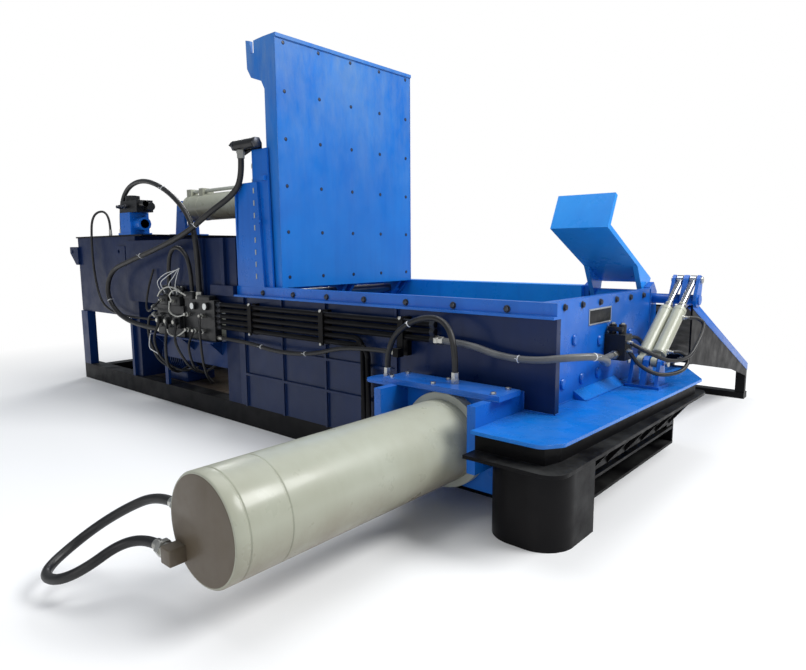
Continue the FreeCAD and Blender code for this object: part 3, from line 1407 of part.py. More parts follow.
def drive_motor():
    """The finned motor and gear pump on the skid under the valves."""
    start, end, y, z, radius = -1700, -1120, -620, 450, 185
    case = prism("motor_case", "X", (y, z), start, end, radius, 12)
    pieces = [case]
    for number in range(7):
        left = start + 80 + number * 62
        pieces.append(prism("motor_fin_%d" % (number + 1), "X", (y, z), left, left + 14, radius + 22, 12))
    pieces.append(block("motor_feet", (start + 60, end - 60), (y - 170, y + 170), (rail_height, z - radius + 40)))
    pieces.append(block("terminal_box", (start + 180, start + 380), (y - 100, y + 100), (z + radius - 20, z + radius + 90)))
    pieces.append(prism("gear_pump", "X", (y, z), end, end + 300, 105, 12))
    finish(welded("drive_motor", pieces))


def valve_stand():
    """The tray under the valves and the shelf that they are bolted to."""
    y = (near, near + side_plate)
    panel = block("stand_panel", (stand_left, window_right), y, (stand_bottom, stand_top))
    shelf = block("stand_shelf", (stand_left, window_right), (valve_near, near + side_plate), (stand_top, stand_top + stand_plate))
    pieces = [panel, shelf]
    leg = block("stand_leg", (stand_left, stand_left + 60), y, (rail_height, stand_bottom))
    pieces.append(leg)
    for number, x in enumerate((stand_left + 60, -700, window_right - 90)):
        outline = [(valve_near + 10, stand_top), (near, stand_top), (near, stand_top - 130)]
        pieces.append(plate("stand_gusset_%d" % (number + 1), "X", outline, x, x + 12))
    finish(welded("valve_stand", pieces))


def valve_manifold():
    """The drilled steel block that all the valves are bolted to."""
    z = (stand_top + stand_plate, manifold_top)
    body = block("manifold_block", (manifold_left, manifold_right), (manifold_near, near - rib_depth - guide_gap / 2), z)
    port_plate = block("manifold_ports", (manifold_right, window_right - 20), (manifold_near + 20, near - rib_depth - guide_gap / 2),
                       (z[0], 1150))
    finish(welded("valve_manifold", [body, port_plate]))


def valve_heads():
    """The valves on the manifold: pilot valves on top, cartridge covers on the face and the end."""
    heads = []
    top = manifold_top
    for number in range(2):
        left = manifold_left + 40 + number * 235
        middle = left + 45
        body = block("pilot_body_%d" % (number + 1), (left, left + 160), (manifold_near + 5, near - 40), (top, top + 90))
        coil = prism("pilot_coil_%d" % (number + 1), "Z", (middle, -1040), top + 90, top + 190, 34, 8)
        heads.append(welded("pilot_valve_%d" % (number + 1), [body, coil]))
    for number in range(3):
        x = manifold_left + 95 + number * 160
        face = prism("cartridge_face_%d" % (number + 1), "Y", (x, 915), manifold_near - 34, manifold_near, 72, 8)
        plug = prism("cartridge_plug_%d" % (number + 1), "Y", (x, 915), manifold_near - 62, manifold_near - 34, 40, 6)
        heads.append(welded("cartridge_%d" % (number + 1), [face, plug]))
    for number, z in enumerate((950, 1030)):
        heads.append(prism("end_cap_%d" % (number + 1), "X", (-1055, z), manifold_left - 95, manifold_left, 38, 8))
    finish(group("valve_heads", heads))


def pressure_pipes():
    """Five rigid pipes along the near wall; the two upper ones turn down to the skid."""
    start = window_right - 20
    pipes = []
    for number in range(pipe_count):
        z = (pipe_low + pipe_pitch * number).value
        y = pipe_y.value
        down = number < 2
        if down:
            x = (drop_pipe_x - pipe_pitch * number).value
            bend = drop_pipe_bend.value
            path = corner_path([vector(start.value, y, z), vector(x, y, z), vector(x, y, drop_pipe_end.value)], bend)
        else:
            path = [Part.LineSegment(vector(start.value, y, z), vector(pipe_right.value, y, z)).toShape()]
        pipes.append(tube(path, pipe_radius.value / math.cos(math.pi / PIPE_SIDES), PIPE_SIDES))
    feature = doc.addObject("Part::Feature", "pressure_pipes")
    feature.Shape = Part.makeCompound(pipes)
    finish(feature)


def corner_path(points, radius):
    """Straight edges joined by one tangent arc at the middle point."""
    first, corner, last = points
    before = (first - corner).normalize()
    after = (last - corner).normalize()
    half = math.acos(before.dot(after)) / 2
    reach = radius / math.tan(half)
    begin = corner + before * reach
    end = corner + after * reach
    inward = (before + after).normalize()
    centre = corner + inward * (radius / math.sin(half))
    middle = centre - inward * radius
    return [
        Part.LineSegment(first, begin).toShape(), Part.Arc(begin, middle, end).toShape(),
        Part.LineSegment(end, last).toShape(),
    ]


def tube(edges, reach, sides):
    """A bar of regular section, with a flat to each side, swept along edges that join smoothly."""
    wire = Part.Wire(edges)
    start = edges[0].Vertexes[0].Point
    direction = edges[0].tangentAt(edges[0].FirstParameter)
    across = direction.cross(AXES["X"] if abs(direction.z) > 0.9 else AXES["Z"]).normalize()
    upward = direction.cross(across)
    ring = []
    for corner in range(sides + 1):
        angle = math.pi * (2 * corner + 1) / sides
        ring.append(start + across * (reach * math.cos(angle)) + upward * (reach * math.sin(angle)))
    return wire.makePipeShell([Part.makePolygon(ring)], True, False)


def pipe_clamps():
    """Two-bar clamps that hold the pipes to the near wall."""
    clamps = []
    low = pipe_low - pipe_radius - 12
    high = pipe_low + pipe_pitch * (pipe_count - 1) + pipe_radius + 12
    for number, x in enumerate((400, 1330, 2150)):
        back = block("clamp_back_%d" % (number + 1), (x - clamp_width / 2, x + clamp_width / 2),
                     (pipe_y + pipe_radius, near), (low, high))
        clamps.append(back)
        front = block("clamp_front_%d" % (number + 1), (x - clamp_width / 2, x + clamp_width / 2),
                      (pipe_y - pipe_radius - 10, pipe_y - pipe_radius), (low, high))
        clamps.append(front)
    bulkhead = block("hose_bulkhead", (2125, 2175), (pipe_y - pipe_radius - 60, pipe_y - pipe_radius - 10), (low, low + 60))
    clamps[-1] = welded("last_clamp_front", [front, bulkhead])
    finish(group("pipe_clamps", clamps))


def end_valve_block():
    """The valve block on the end wall that feeds the turn-out cylinders."""
    x = (end_face, end_face + block_depth)
    body = block("end_block", x, (block_left_y, block_right_y), (block_bottom, block_top))
    pieces = [body]
    for number, z in enumerate((block_bottom + 45, block_top - 45)):
        pieces.append(prism("end_block_cap_%d" % (number + 1), "Y", (x[1] - 55, z), block_right_y, block_right_y + 36, 26, 6))
    finish(welded("end_valve_block", pieces))


# ---------------------------------------------------------------- hoses
HOSES = {
    "pump_hose": (50, [
        (-2330, -860, 1863), (-2330, -860, 2150), (-2060, -880, 2345), (-1560, -930, 2370),
        (-960, -990, 2190), (-520, -1030, 1900), (-430, -1045, 1560), (-430, -1045, 1220),
    ]),
    "tower_hose": (52, [
        (-1220, -1060, 800), (-1620, -1060, 800), (-2070, -1100, 900), (-2300, -1110, 1140),
        (-2130, -1110, 1400), (-1700, -1110, 1500), (-1080, -1110, 1630), (-500, -1112, 1770),
        (-120, -1090, 1950), (190, -1012, 2110), (270, -1000, 2260), (270, -1000, 2397),
    ]),
    "return_hose": (26, [
        (-2540, -905, 1863), (-2540, -905, 2090), (-2770, -1010, 2060), (-2810, -1020, 1700),
        (-2790, -1020, 1330), (-2640, -1030, 1010), (-2330, -1036, 905), (-1970, -1032, 880),
        (-1590, -1032, 884), (-1220, -1032, 884),
    ]),
    "drop_hose": (40, [
        (-560, -1045, 1220), (-560, -1045, 1480), (-700, -1055, 1640), (-880, -1055, 1640),
        (-990, -1045, 1480), (-990, -1045, 1230),
    ]),
    "wall_hose": (34, [
        (-60, -1045, 800), (330, -1045, 800), (800, -1092, 765), (1250, -1092, 790),
        (1650, -1092, 900), (2055, -1092, 900),
    ]),
    "seat_hose": (40, [
        (2150, -1200, 815), (2150, -1200, 990), (2330, -1150, 1150), (2560, -1130, 1180),
        (2715, -1200, 1040), (2715, -1200, 849),
    ]),
    "end_hose": (44, [
        (2510, -1042, 1009), (2700, -1042, 1009), (2930, -1050, 955), (3180, -1050, 950),
        (3380, -1030, 990), (3500, -830, 985), (3430, -560, 890), (3262, -330, 870), (3262, -130, 870),
    ]),
    "turnout_hose": (30, [
        (3275, 166, 965), (3275, 330, 965), (3275, 560, 780), (3370, 800, 698), (3370, 995, 698),
    ]),
    "cap_hose": (48, [
        (2329, -2875, 435), (2170, -2875, 435), (1960, -2950, 330), (1790, -3080, 190),
        (1850, -3330, 90), (2110, -3290, 140), (2180, -3000, 295), (2410, -3000, 295),
    ]),
}
BEND_SHARE = 0.45
HOSE_SIDES = 6
PIPE_SIDES = 8


def hose_path(points):
    """Straight runs joined by tangent arcs, and the smallest radius among them."""
    edges = []
    radii = []
    start = points[0]
    for i in range(1, len(points) - 1):
        before = points[i - 1] - points[i]
        after = points[i + 1] - points[i]
        half_turn = (math.pi - before.getAngle(after)) / 2
        reach = BEND_SHARE * min(before.Length, after.Length)
        before.normalize()
        after.normalize()
        begin = points[i] + before * reach
        end = points[i] + after * reach
        radius = reach / math.tan(half_turn)
        radii.append(radius)
        inward = (before + after).normalize()
        centre = points[i] + inward * (radius / math.cos(half_turn))
        middle = centre - inward * radius
        edges.append(Part.LineSegment(start, begin).toShape())
        edges.append(Part.Arc(begin, middle, end).toShape())
        start = end
    edges.append(Part.LineSegment(start, points[-1]).toShape())
    return edges, radii


def hoses():
    """Each free hose as a plain tube, and the steel end fittings that the hoses come out of."""
    fittings = []
    for name, (diameter, spots) in HOSES.items():
        points = [vector(*spot) for spot in spots]
        edges, radii = hose_path(points)
        reach = diameter * math.sqrt(math.pi / (2 * HOSE_SIDES * math.sin(2 * math.pi / HOSE_SIDES)))
        solid = tube(edges, reach, HOSE_SIDES)
        length = sum(edge.Length for edge in edges)
        wanted = math.pi * diameter ** 2 / 4 * length
        print("%s length %.0f mm, radii %s, volume ratio %.3f"
              % (name, length, " ".join("%.0f" % r for r in radii), solid.Volume / wanted))
        feature = doc.addObject("Part::Feature", name)
        feature.Shape = solid
        finish(feature)
        for end, beyond in ((points[0], points[0] - points[1]), (points[-1], points[-1] - points[-2])):
            beyond.normalize()
            fittings.append(hose_end(end, beyond, diameter))
    feature = doc.addObject("Part::Feature", "hose_fittings")
    feature.Shape = Part.makeCompound(fittings)
    finish(feature)


def hose_end(end, direction, diameter):
    """A crimped ferrule and its union nut, from the hose's end onwards."""
    ferrule = hexagon_bar(end, direction, diameter * 0.62, fitting_length.value * 0.6)
    nut_start = end + direction * (fitting_length.value * 0.6)
    return ferrule.fuse(hexagon_bar(nut_start, direction, diameter * 0.72, fitting_length.value * 0.4))


def hexagon_bar(start, direction, reach, length):
    """A hexagon prism from a point onwards, its corners at the reach from the axis."""
    ring = []
    for corner in range(7):
        angle = math.radians(60 * corner)
        ring.append(vector(reach * math.cos(angle), reach * math.sin(angle), 0))
    bar = Part.Face(Part.makePolygon(ring)).extrude(vector(0, 0, length))
    bar.Placement = FreeCAD.Placement(start, FreeCAD.Rotation(vector(0, 0, 1), direction))
    return bar


# ---------------------------------------------------------------- build and write
base_frame()
tank_stand()
oil_tank()
tank_cover()
crosshead()
housing_near_plate()
housing_far_plate()
hinge_beam()
box_floor()
near_side_wall()
near_rim_rail()
far_side_wall()
bearing_posts()
end_wall()
wall_bolts()
nameplate()
deck()
deck_skirt()
near_foot()
side_housing()
keeper_bar()
side_cylinder()
side_moving()
main_cylinder()
main_moving()
lid()
lid_liner_bolts()
lid_hinge_pin()
lid_drive()
lid_cylinder_bracket()
tower()
tower_bracket()
turnout_arm()
turnout_shaft()
turnout_cylinders()
turnout_pedestal()
discharge_chute()
pump()
drive_motor()
valve_stand()
valve_manifold()
valve_heads()
pressure_pipes()
pipe_clamps()
end_valve_block()
hoses()
doc.recompute()

for thing in doc.Objects:
    for problem in ("Invalid", "Error"):
        if problem in thing.State:
            raise SystemExit("%s is %s" % (thing.Label, problem))
for thing in finished:
    shape = thing.Shape
    if shape.isNull() or not shape.isValid():
        raise SystemExit("%s has no valid shape" % thing.Label)
    shape.exportStep("parts/%s.step" % thing.Label)
print("%d nodes written" % len(finished))
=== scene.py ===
import math

import bpy
import numpy as np
from mathutils import Matrix, Vector


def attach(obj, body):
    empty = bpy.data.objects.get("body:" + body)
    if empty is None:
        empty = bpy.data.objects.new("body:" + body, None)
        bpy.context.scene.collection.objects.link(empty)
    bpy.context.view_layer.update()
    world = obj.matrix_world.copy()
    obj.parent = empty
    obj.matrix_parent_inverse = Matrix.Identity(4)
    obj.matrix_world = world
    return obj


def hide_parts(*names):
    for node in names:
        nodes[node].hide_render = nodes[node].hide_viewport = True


# Looks of a recycling baler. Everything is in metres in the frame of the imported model: X runs along
# the machine towards the bale chamber, Y away from the side press, Z up.

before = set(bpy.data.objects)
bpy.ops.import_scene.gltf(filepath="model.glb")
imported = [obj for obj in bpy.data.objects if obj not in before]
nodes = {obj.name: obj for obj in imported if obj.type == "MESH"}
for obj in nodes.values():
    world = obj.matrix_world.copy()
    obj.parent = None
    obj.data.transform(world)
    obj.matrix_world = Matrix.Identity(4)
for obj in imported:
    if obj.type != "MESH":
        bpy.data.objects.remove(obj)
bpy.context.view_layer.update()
scene = bpy.context.scene


# ---------------- camera
PICTURE_WIDTH, FOCAL_LENGTH = 806, 622.5  # pixels
SENSOR_WIDTH = 36.0  # millimetres
EYE = (4.96, -4.272, 1.6)


def camera():
    """A standing viewer's camera; its columns are the picture's right, up and backward directions."""
    data = bpy.data.cameras.new("viewer")
    data.sensor_width = SENSOR_WIDTH
    data.lens = SENSOR_WIDTH / (PICTURE_WIDTH / FOCAL_LENGTH)
    data.clip_end = 200.0
    viewer = bpy.data.objects.new("viewer", data)
    scene.collection.objects.link(viewer)
    right = Vector((0.75525, 0.65541, -0.00623))
    down = Vector((0.08361, -0.10576, -0.99087))
    forward = Vector((-0.65008, 0.74783, -0.13468))
    turn = Matrix((right, -down, -forward)).transposed()
    viewer.matrix_world = Matrix.Translation(EYE) @ turn.to_4x4()
    scene.camera = viewer


camera()


# ---------------- shading helpers
def new_material(name):
    material = bpy.data.materials.new(name)
    material.use_nodes = True
    tree = material.node_tree
    tree.nodes.clear()
    return material, tree


def node(tree, kind, **values):
    """One shader node with its properties and unlinked inputs set by name."""
    made = tree.nodes.new(kind)
    for key, value in values.items():
        if key in made.inputs:
            made.inputs[key].default_value = value
        else:
            setattr(made, key, value)
    return made


def noise(tree, coords, scale, detail=4.0, roughness=0.55):
    """Fractal noise between 0 and 1 at a scale given in waves per metre."""
    made = node(tree, "ShaderNodeTexNoise", Scale=scale, Detail=detail, Roughness=roughness)
    tree.links.new(coords, made.inputs["Vector"])
    return made.outputs["Fac"]


def spread(tree, value, low, high, to_low=0.0, to_high=1.0):
    """Maps a number from low..high to to_low..to_high, clamped."""
    made = node(tree, "ShaderNodeMapRange", clamp=True)
    tree.links.new(value, made.inputs["Value"])
    for key, number in (("From Min", low), ("From Max", high), ("To Min", to_low), ("To Max", to_high)):
        made.inputs[key].default_value = number
    return made.outputs["Result"]


def arithmetic(tree, operation, left, right):
    """One operation on two sockets or numbers."""
    made = node(tree, "ShaderNodeMath", operation=operation)
    for number, value in enumerate((left, right)):
        if isinstance(value, (int, float)):
            made.inputs[number].default_value = value
        else:
            tree.links.new(value, made.inputs[number])
    return made.outputs[0]


def times(tree, left, right):
    """The product of two sockets or numbers."""
    return arithmetic(tree, "MULTIPLY", left, right)


def blend_colour(tree, share, first, second):
    """The first colour, with share of the second over it."""
    made = node(tree, "ShaderNodeMix", data_type="RGBA")
    for socket, value in (("Factor", share), ("A", first), ("B", second)):
        place = [s for s in made.inputs if s.name == socket and s.enabled][0]
        if isinstance(value, (tuple, float, int)):
            place.default_value = value
        else:
            tree.links.new(value, place)
    return [s for s in made.outputs if s.enabled][0]


def object_coords(tree, scale=(1.0, 1.0, 1.0)):
    """Places in metres on the object, stretched by scale."""
    coords = node(tree, "ShaderNodeTexCoord")
    if scale == (1.0, 1.0, 1.0):
        return coords.outputs["Object"]
    mapping = node(tree, "ShaderNodeMapping")
    mapping.inputs["Scale"].default_value = scale
    tree.links.new(coords.outputs["Object"], mapping.inputs["Vector"])
    return mapping.outputs["Vector"]


def edge_share(tree, radius):
    """How far the surface turns within a small radius: 0 on a flat face, towards 1 along an edge."""
    rounded = node(tree, "ShaderNodeBevel", samples=4)
    rounded.inputs["Radius"].default_value = radius
    face = node(tree, "ShaderNodeNewGeometry")
    dot = node(tree, "ShaderNodeVectorMath", operation="DOT_PRODUCT")
    tree.links.new(rounded.outputs["Normal"], dot.inputs[0])
    tree.links.new(face.outputs["Normal"], dot.inputs[1])
    return arithmetic(tree, "SUBTRACT", 1.0, dot.outputs["Value"]), rounded.outputs["Normal"]


def bumps(tree, height, strength, distance, normal=None):
    """A normal bent by a height, on top of another normal where one is given."""
    made = node(tree, "ShaderNodeBump", Strength=strength, Distance=distance)
    tree.links.new(height, made.inputs["Height"])
    if normal is not None:
        tree.links.new(normal, made.inputs["Normal"])
    return made.outputs["Normal"]


def close(tree, shader):
    """Link a shader to the material's output."""
    output = node(tree, "ShaderNodeOutputMaterial")
    tree.links.new(shader.outputs[0], output.inputs["Surface"])


def rgb(red, green, blue):
    """A colour from its 0-255 display values, as a linear RGBA tuple."""
    def linear(value):
        share = value / 255
        return share / 12.92 if share <= 0.04045 else ((share + 0.055) / 1.055) ** 2.4
    return (linear(red), linear(green), linear(blue), 1.0)


# ---------------- finishes
SETTLED_DUST = rgb(176, 178, 174)
PAINT_SPECULAR, CLEAR_COAT, COAT_ROUGHNESS = 0.35, 0.14, 0.12
METAL_EDGE = 0.0015


def enamel(name, colour, shade, bare_highlight_colour, gloss, dust, wear, grain=0.5, edge=0.004, underside_shade=None,
           paler_top=None, shine=1.0):
    """Sprayed enamel on welded plate.

    Broad noise drifts the colour towards shade, stretched noise leaves faint upright runs, and dust
    settles on faces that look up. Along the edges and in small specks the paint turns to the bare
    colour: worn paint, and where that colour is a lighter blue than the paint, a painted highlight along
    the edges. The underside colour tints the faces that look down as painted shade, the pale top is a
    low height, a high height and a pale colour laid over the paint in upright streaks, more of it from
    the one to the other, and shine scales the gloss coat.
    """
    material, tree = new_material(name)
    coords = object_coords(tree)
    broad = spread(tree, noise(tree, coords, 1.1, 5.0), 0.35, 0.68)
    runs = spread(tree, noise(tree, object_coords(tree, (9.0, 9.0, 0.7)), 1.6, 3.0), 0.45, 0.75)
    fine = noise(tree, coords, 60.0, 3.0)
    mottled = blend_colour(tree, times(tree, broad, 0.55), colour, shade)
    streaked = blend_colour(tree, times(tree, runs, 0.22), mottled, shade)

    # The edges and specks take the bare colour: worn paint, and where that colour is a lighter blue than the
    # paint, a painted highlight along the edges.
    turn, rounded = edge_share(tree, edge)
    edge_wear_highlight = times(tree, spread(tree, turn, 0.03, 0.22),
                spread(tree, noise(tree, coords, 14.0, 6.0, 0.7), 0.50, 0.64))
    edge_wear_highlight = times(tree, edge_wear_highlight, wear)
    specks = spread(tree, noise(tree, coords, 34.0, 5.0, 0.75), 0.715, 0.75)
    edge_wear_highlight = arithmetic(tree, "MAXIMUM", edge_wear_highlight, times(tree, specks, wear * 0.6))

    face = node(tree, "ShaderNodeNewGeometry")
    parts = node(tree, "ShaderNodeSeparateXYZ")
    tree.links.new(face.outputs["Normal"], parts.inputs[0])
    # Faces that look down turn towards the underside colour: painted shade.
    if underside_shade is not None:
        shade_below = times(tree, spread(tree, parts.outputs["Z"], 0.15, -0.85),
                      spread(tree, noise(tree, coords, 2.4, 6.0, 0.7), 0.30, 0.62, 0.35, 1.0))
        streaked = blend_colour(tree, shade_below, streaked, underside_shade)
    # Paler towards the top, in upright streaks, between the two heights.
    if paler_top is not None:
        low, high, pale = paler_top
        place = node(tree, "ShaderNodeSeparateXYZ")
        tree.links.new(coords, place.inputs[0])
        upright = object_coords(tree, (2.0, 1.0, 0.35))
        pale_streaks = spread(tree, noise(tree, upright, 3.4, 8.0, 0.72), 0.36, 0.66)
        haze = times(tree, spread(tree, place.outputs["Z"], low, high, 0.04, 0.62), pale_streaks)
        streaked = blend_colour(tree, haze, streaked, pale)
    settled = times(tree, spread(tree, parts.outputs["Z"], 0.6, 0.98),
                    spread(tree, noise(tree, coords, 3.2, 8.0, 0.7), 0.38, 0.72))
    settled = times(tree, settled, dust)
    dusty = blend_colour(tree, settled, streaked, SETTLED_DUST)
    final = blend_colour(tree, edge_wear_highlight, dusty, bare_highlight_colour)

    shader = node(tree, "ShaderNodeBsdfPrincipled")
    tree.links.new(final, shader.inputs["Base Color"])
    patchy = spread(tree, noise(tree, coords, 7.0, 5.0), 0.3, 0.7, gloss * 0.8, gloss * 1.35)
    rough = arithmetic(tree, "ADD", patchy, times(tree, settled, 0.6))
    rough = arithmetic(tree, "ADD", rough, times(tree, edge_wear_highlight, 0.3))
    tree.links.new(rough, shader.inputs["Roughness"])
    shader.inputs["Specular IOR Level"].default_value = PAINT_SPECULAR * shine
    shader.inputs["Coat Weight"].default_value = CLEAR_COAT * shine
    shader.inputs["Coat Roughness"].default_value = COAT_ROUGHNESS
    waves = bumps(tree, noise(tree, coords, 2.6, 2.0), 0.35 * grain, 0.02, rounded)
    peel = bumps(tree, fine, 0.20 * grain, 0.002, waves)
    tree.links.new(peel, shader.inputs["Normal"])
    close(tree, shader)
    return material


def metal(name, colour, rough, brushed=(1.0, 1.0, 1.0), stain=0.3, tarnish=(0.12, 0.10, 0.08, 1.0)):
    """Bare metal: stretched fine noise for the tool marks and a broad stain that also dulls it."""
    material, tree = new_material(name)
    coords = object_coords(tree)
    marks = noise(tree, object_coords(tree, brushed), 130.0, 3.0, 0.6)
    dull = spread(tree, noise(tree, coords, 8.0, 7.0, 0.65), 0.42, 0.72)
    base = blend_colour(tree, times(tree, dull, stain), colour, tarnish)
    shader = node(tree, "ShaderNodeBsdfPrincipled", Metallic=1.0)
    tree.links.new(base, shader.inputs["Base Color"])
    worn = arithmetic(tree, "ADD", spread(tree, marks, 0.2, 0.8, rough * 0.75, rough * 1.25),
                      times(tree, dull, 0.22 * stain))
    tree.links.new(worn, shader.inputs["Roughness"])
    rounded = edge_share(tree, METAL_EDGE)[1]
    tree.links.new(bumps(tree, marks, 0.12, 0.0008, rounded), shader.inputs["Normal"])
    close(tree, shader)
    return material


def rubber(name, colour, dusty, rough=0.55, wrap=260.0):
    """Hose cover: fine cloth-wrap marks in its bump, with pale dust caught in broad patches."""
    material, tree = new_material(name)
    coords = object_coords(tree)
    patches = spread(tree, noise(tree, coords, 6.0, 8.0, 0.7), 0.46, 0.76)
    base = blend_colour(tree, times(tree, patches, 0.35), colour, dusty)
    shader = node(tree, "ShaderNodeBsdfPrincipled")
    tree.links.new(base, shader.inputs["Base Color"])
    tree.links.new(spread(tree, patches, 0.0, 1.0, rough * 0.75, rough * 1.2), shader.inputs["Roughness"])
    ribs = noise(tree, coords, wrap, 2.0)
    tree.links.new(bumps(tree, ribs, 0.35, 0.0012), shader.inputs["Normal"])
    close(tree, shader)
    return material


def plastic(name, colour, rough=0.4):
    """Moulded plastic: a darker drift in its colour and a fine grain in its surface."""
    material, tree = new_material(name)
    coords = object_coords(tree)
    shader = node(tree, "ShaderNodeBsdfPrincipled")
    drift = spread(tree, noise(tree, coords, 20.0, 4.0), 0.4, 0.7, 0.0, 0.25)
    darker = tuple(c * 0.6 for c in colour[:3]) + (1.0,)
    tree.links.new(blend_colour(tree, drift, colour, darker), shader.inputs["Base Color"])
    patchy = spread(tree, noise(tree, coords, 40.0), 0.3, 0.7, rough * 0.8, rough * 1.2)
    tree.links.new(patchy, shader.inputs["Roughness"])
    tree.links.new(bumps(tree, noise(tree, coords, 500.0), 0.1, 0.0005), shader.inputs["Normal"])
    close(tree, shader)
    return material


RUBBED = rgb(70, 92, 124)
PRIMER = rgb(44, 74, 124)
# Each paint: name, colour, shade, bare and highlight colour, roughness, dust, wear, then orange peel, edge,
# underside shade.
PAINTS = {
    "blue": enamel("blue_enamel", rgb(13, 106, 204), rgb(8, 70, 152), RUBBED, 0.30, 0.12, 0.5),
    # The lid's paint turns paler towards its top, in upright streaks.
    "lid": enamel("lid_enamel", rgb(14, 118, 208), rgb(10, 86, 178), rgb(120, 150, 186), 0.36, 0.20,
                  0.55, 0.7, paler_top=(1.9, 3.5, rgb(120, 146, 172))),
    # The deck's paint is a brighter copy of the blue: painted light on its sunlit top.
    "deck": enamel("deck_lit_enamel", rgb(6, 120, 214), rgb(5, 88, 180), RUBBED, 0.24, 0.10, 0.4),
    # A darker copy of the blue: painted shade on the near side, with a lighter blue edge colour as a painted
    # highlight.
    "wall": enamel("near_side_shade_enamel", rgb(10, 46, 100), rgb(7, 26, 62), rgb(40, 96, 190), 0.34, 0.10, 0.55,
                   shine=0.6),
    # The near wall's paint: a darker copy of the blue as painted shade, with a lighter blue edge colour as a
    # painted highlight.
    "panel": enamel("near_wall_shade_enamel", rgb(9, 36, 82), rgb(6, 22, 50), rgb(34, 84, 170), 0.34, 0.14, 0.5,
                    shine=0.7),
    # The tank's paint: a darker copy of the blue, painted shade.
    "tank": enamel("tank_shade_enamel", rgb(9, 32, 74), rgb(6, 20, 48), PRIMER, 0.36, 0.06, 0.4, shine=0.5),
    "black": enamel("black_enamel", rgb(8, 9, 13), rgb(20, 17, 17), rgb(50, 47, 46), 0.42, 0.10, 0.5,
                    shine=0.3),
    # The inside of the far wall: a brighter copy of the blue, painted light.
    "inside": enamel("inside_lit_enamel", rgb(30, 156, 250), rgb(18, 112, 214), RUBBED, 0.30, 0.2, 0.6),
    "bright": enamel("bright_enamel", rgb(44, 160, 250), rgb(22, 122, 220), rgb(150, 184, 220), 0.30,
                     0.16, 0.7),
    # The beige and the cap paints end with their underside colour, painted shade on faces that look down.
    "beige": enamel("pale_enamel", rgb(176, 180, 165), rgb(154, 153, 134), rgb(112, 100, 84), 0.30,
                    0.14, 0.35, 0.30, 0.006, rgb(112, 98, 80)),
    "cap": enamel("cap_enamel", rgb(102, 92, 77), rgb(76, 66, 53), rgb(66, 54, 44), 0.42, 0.10, 0.45,
                  0.5, 0.004, rgb(84, 70, 56)),
    "grey": enamel("grey_enamel", rgb(184, 188, 178), rgb(150, 152, 142), rgb(100, 96, 90), 0.34, 0.18,
                   0.4),
    "valve": enamel("valve_black", rgb(22, 23, 26), rgb(12, 13, 15), rgb(92, 94, 96), 0.40, 0.20, 0.6,
                    0.8, 0.002),
}
METALS = {
    "zinc": metal("zinc_plate", rgb(196, 196, 190), 0.32, stain=0.35),
    "steel": metal("machined_steel", rgb(132, 132, 134), 0.34, (1.0, 14.0, 1.0), 0.4),
    "wear": metal("wear_plate", rgb(134, 124, 112), 0.42, (0.4, 16.0, 16.0), 0.75, rgb(84, 62, 46)),
    "chrome": metal("rod_chrome", rgb(178, 182, 188), 0.20, (14.0, 1.0, 1.0), 0.1),
    "plate": metal("bare_aluminium", rgb(206, 210, 214), 0.38, (1.0, 18.0, 1.0), 0.15),
    "bolt": metal("blackened_bolt", rgb(74, 78, 86), 0.42, stain=0.4),
}
OTHERS = {
    "hose": rubber("hose_cover", rgb(17, 17, 19), rgb(74, 72, 68)),
    "grey_hose": rubber("grey_hose_cover", rgb(92, 94, 96), rgb(150, 150, 146), 0.5, 420.0),
    "tie": plastic("white_tie", rgb(222, 224, 226), 0.35),
    "coil": plastic("moulded_black", rgb(20, 21, 24), 0.45),
    "plug": plastic("grey_connector", rgb(70, 74, 80)),
    "dial": plastic("dial_white", rgb(232, 234, 232), 0.25),
}
FINISHES = {**PAINTS, **METALS, **OTHERS}

NODE_FINISH = {
    # Of these, the deck skirt, the near foot and the discharge chute take the black as painted shade.
    "black": "base_frame tank_cover deck_skirt near_foot tower_bracket discharge_chute pipe_clamps",
    # The stands take the near side's darker copy of the blue: painted shade.
    "wall": "tank_stand valve_stand",
    # The tank, the crosshead and the housing's near plate take the tank's darker copy of the blue: painted
    # shade.
    "tank": "oil_tank crosshead housing_near_plate",
    "blue": "housing_far_plate hinge_beam near_rim_rail bearing_posts end_wall side_housing keeper_bar "
            "main_ram lid_cylinder_bracket tower turnout_shaft turnout_pedestal pump_body",
    "wear": "box_floor side_ram",
    # The near wall takes its darker copy of the blue: painted shade.
    "panel": "near_side_wall",
    # The far wall takes the brighter copy of the blue: painted light on its inner face.
    "inside": "far_side_wall",
    "plate": "nameplate",
    # The deck plate takes the brighter copy of the blue, painted light.
    "deck": "deck_plate",
    "chrome": "side_rod main_rod lid_rod turnout_rods",
    "beige": "main_cylinder lid_barrel turnout_barrels",
    "lid": "lid",
    "steel": "lid_hinge_pin",
    "bright": "turnout_arm",
    "valve": "pump_valve valve_manifold valve_heads end_valve_block",
    "zinc": "hose_fittings",
}


def dress_nodes():
    """Every CAD node that shows takes its finish."""
    for finish, names in NODE_FINISH.items():
        for name in names.split():
            mesh = nodes[name].data
            mesh.materials.clear()
            mesh.materials.append(FINISHES[finish])


# ---------------- surfaces
SHARP_TURN = 38  # degrees between two faces, beyond which their edge shows sharp


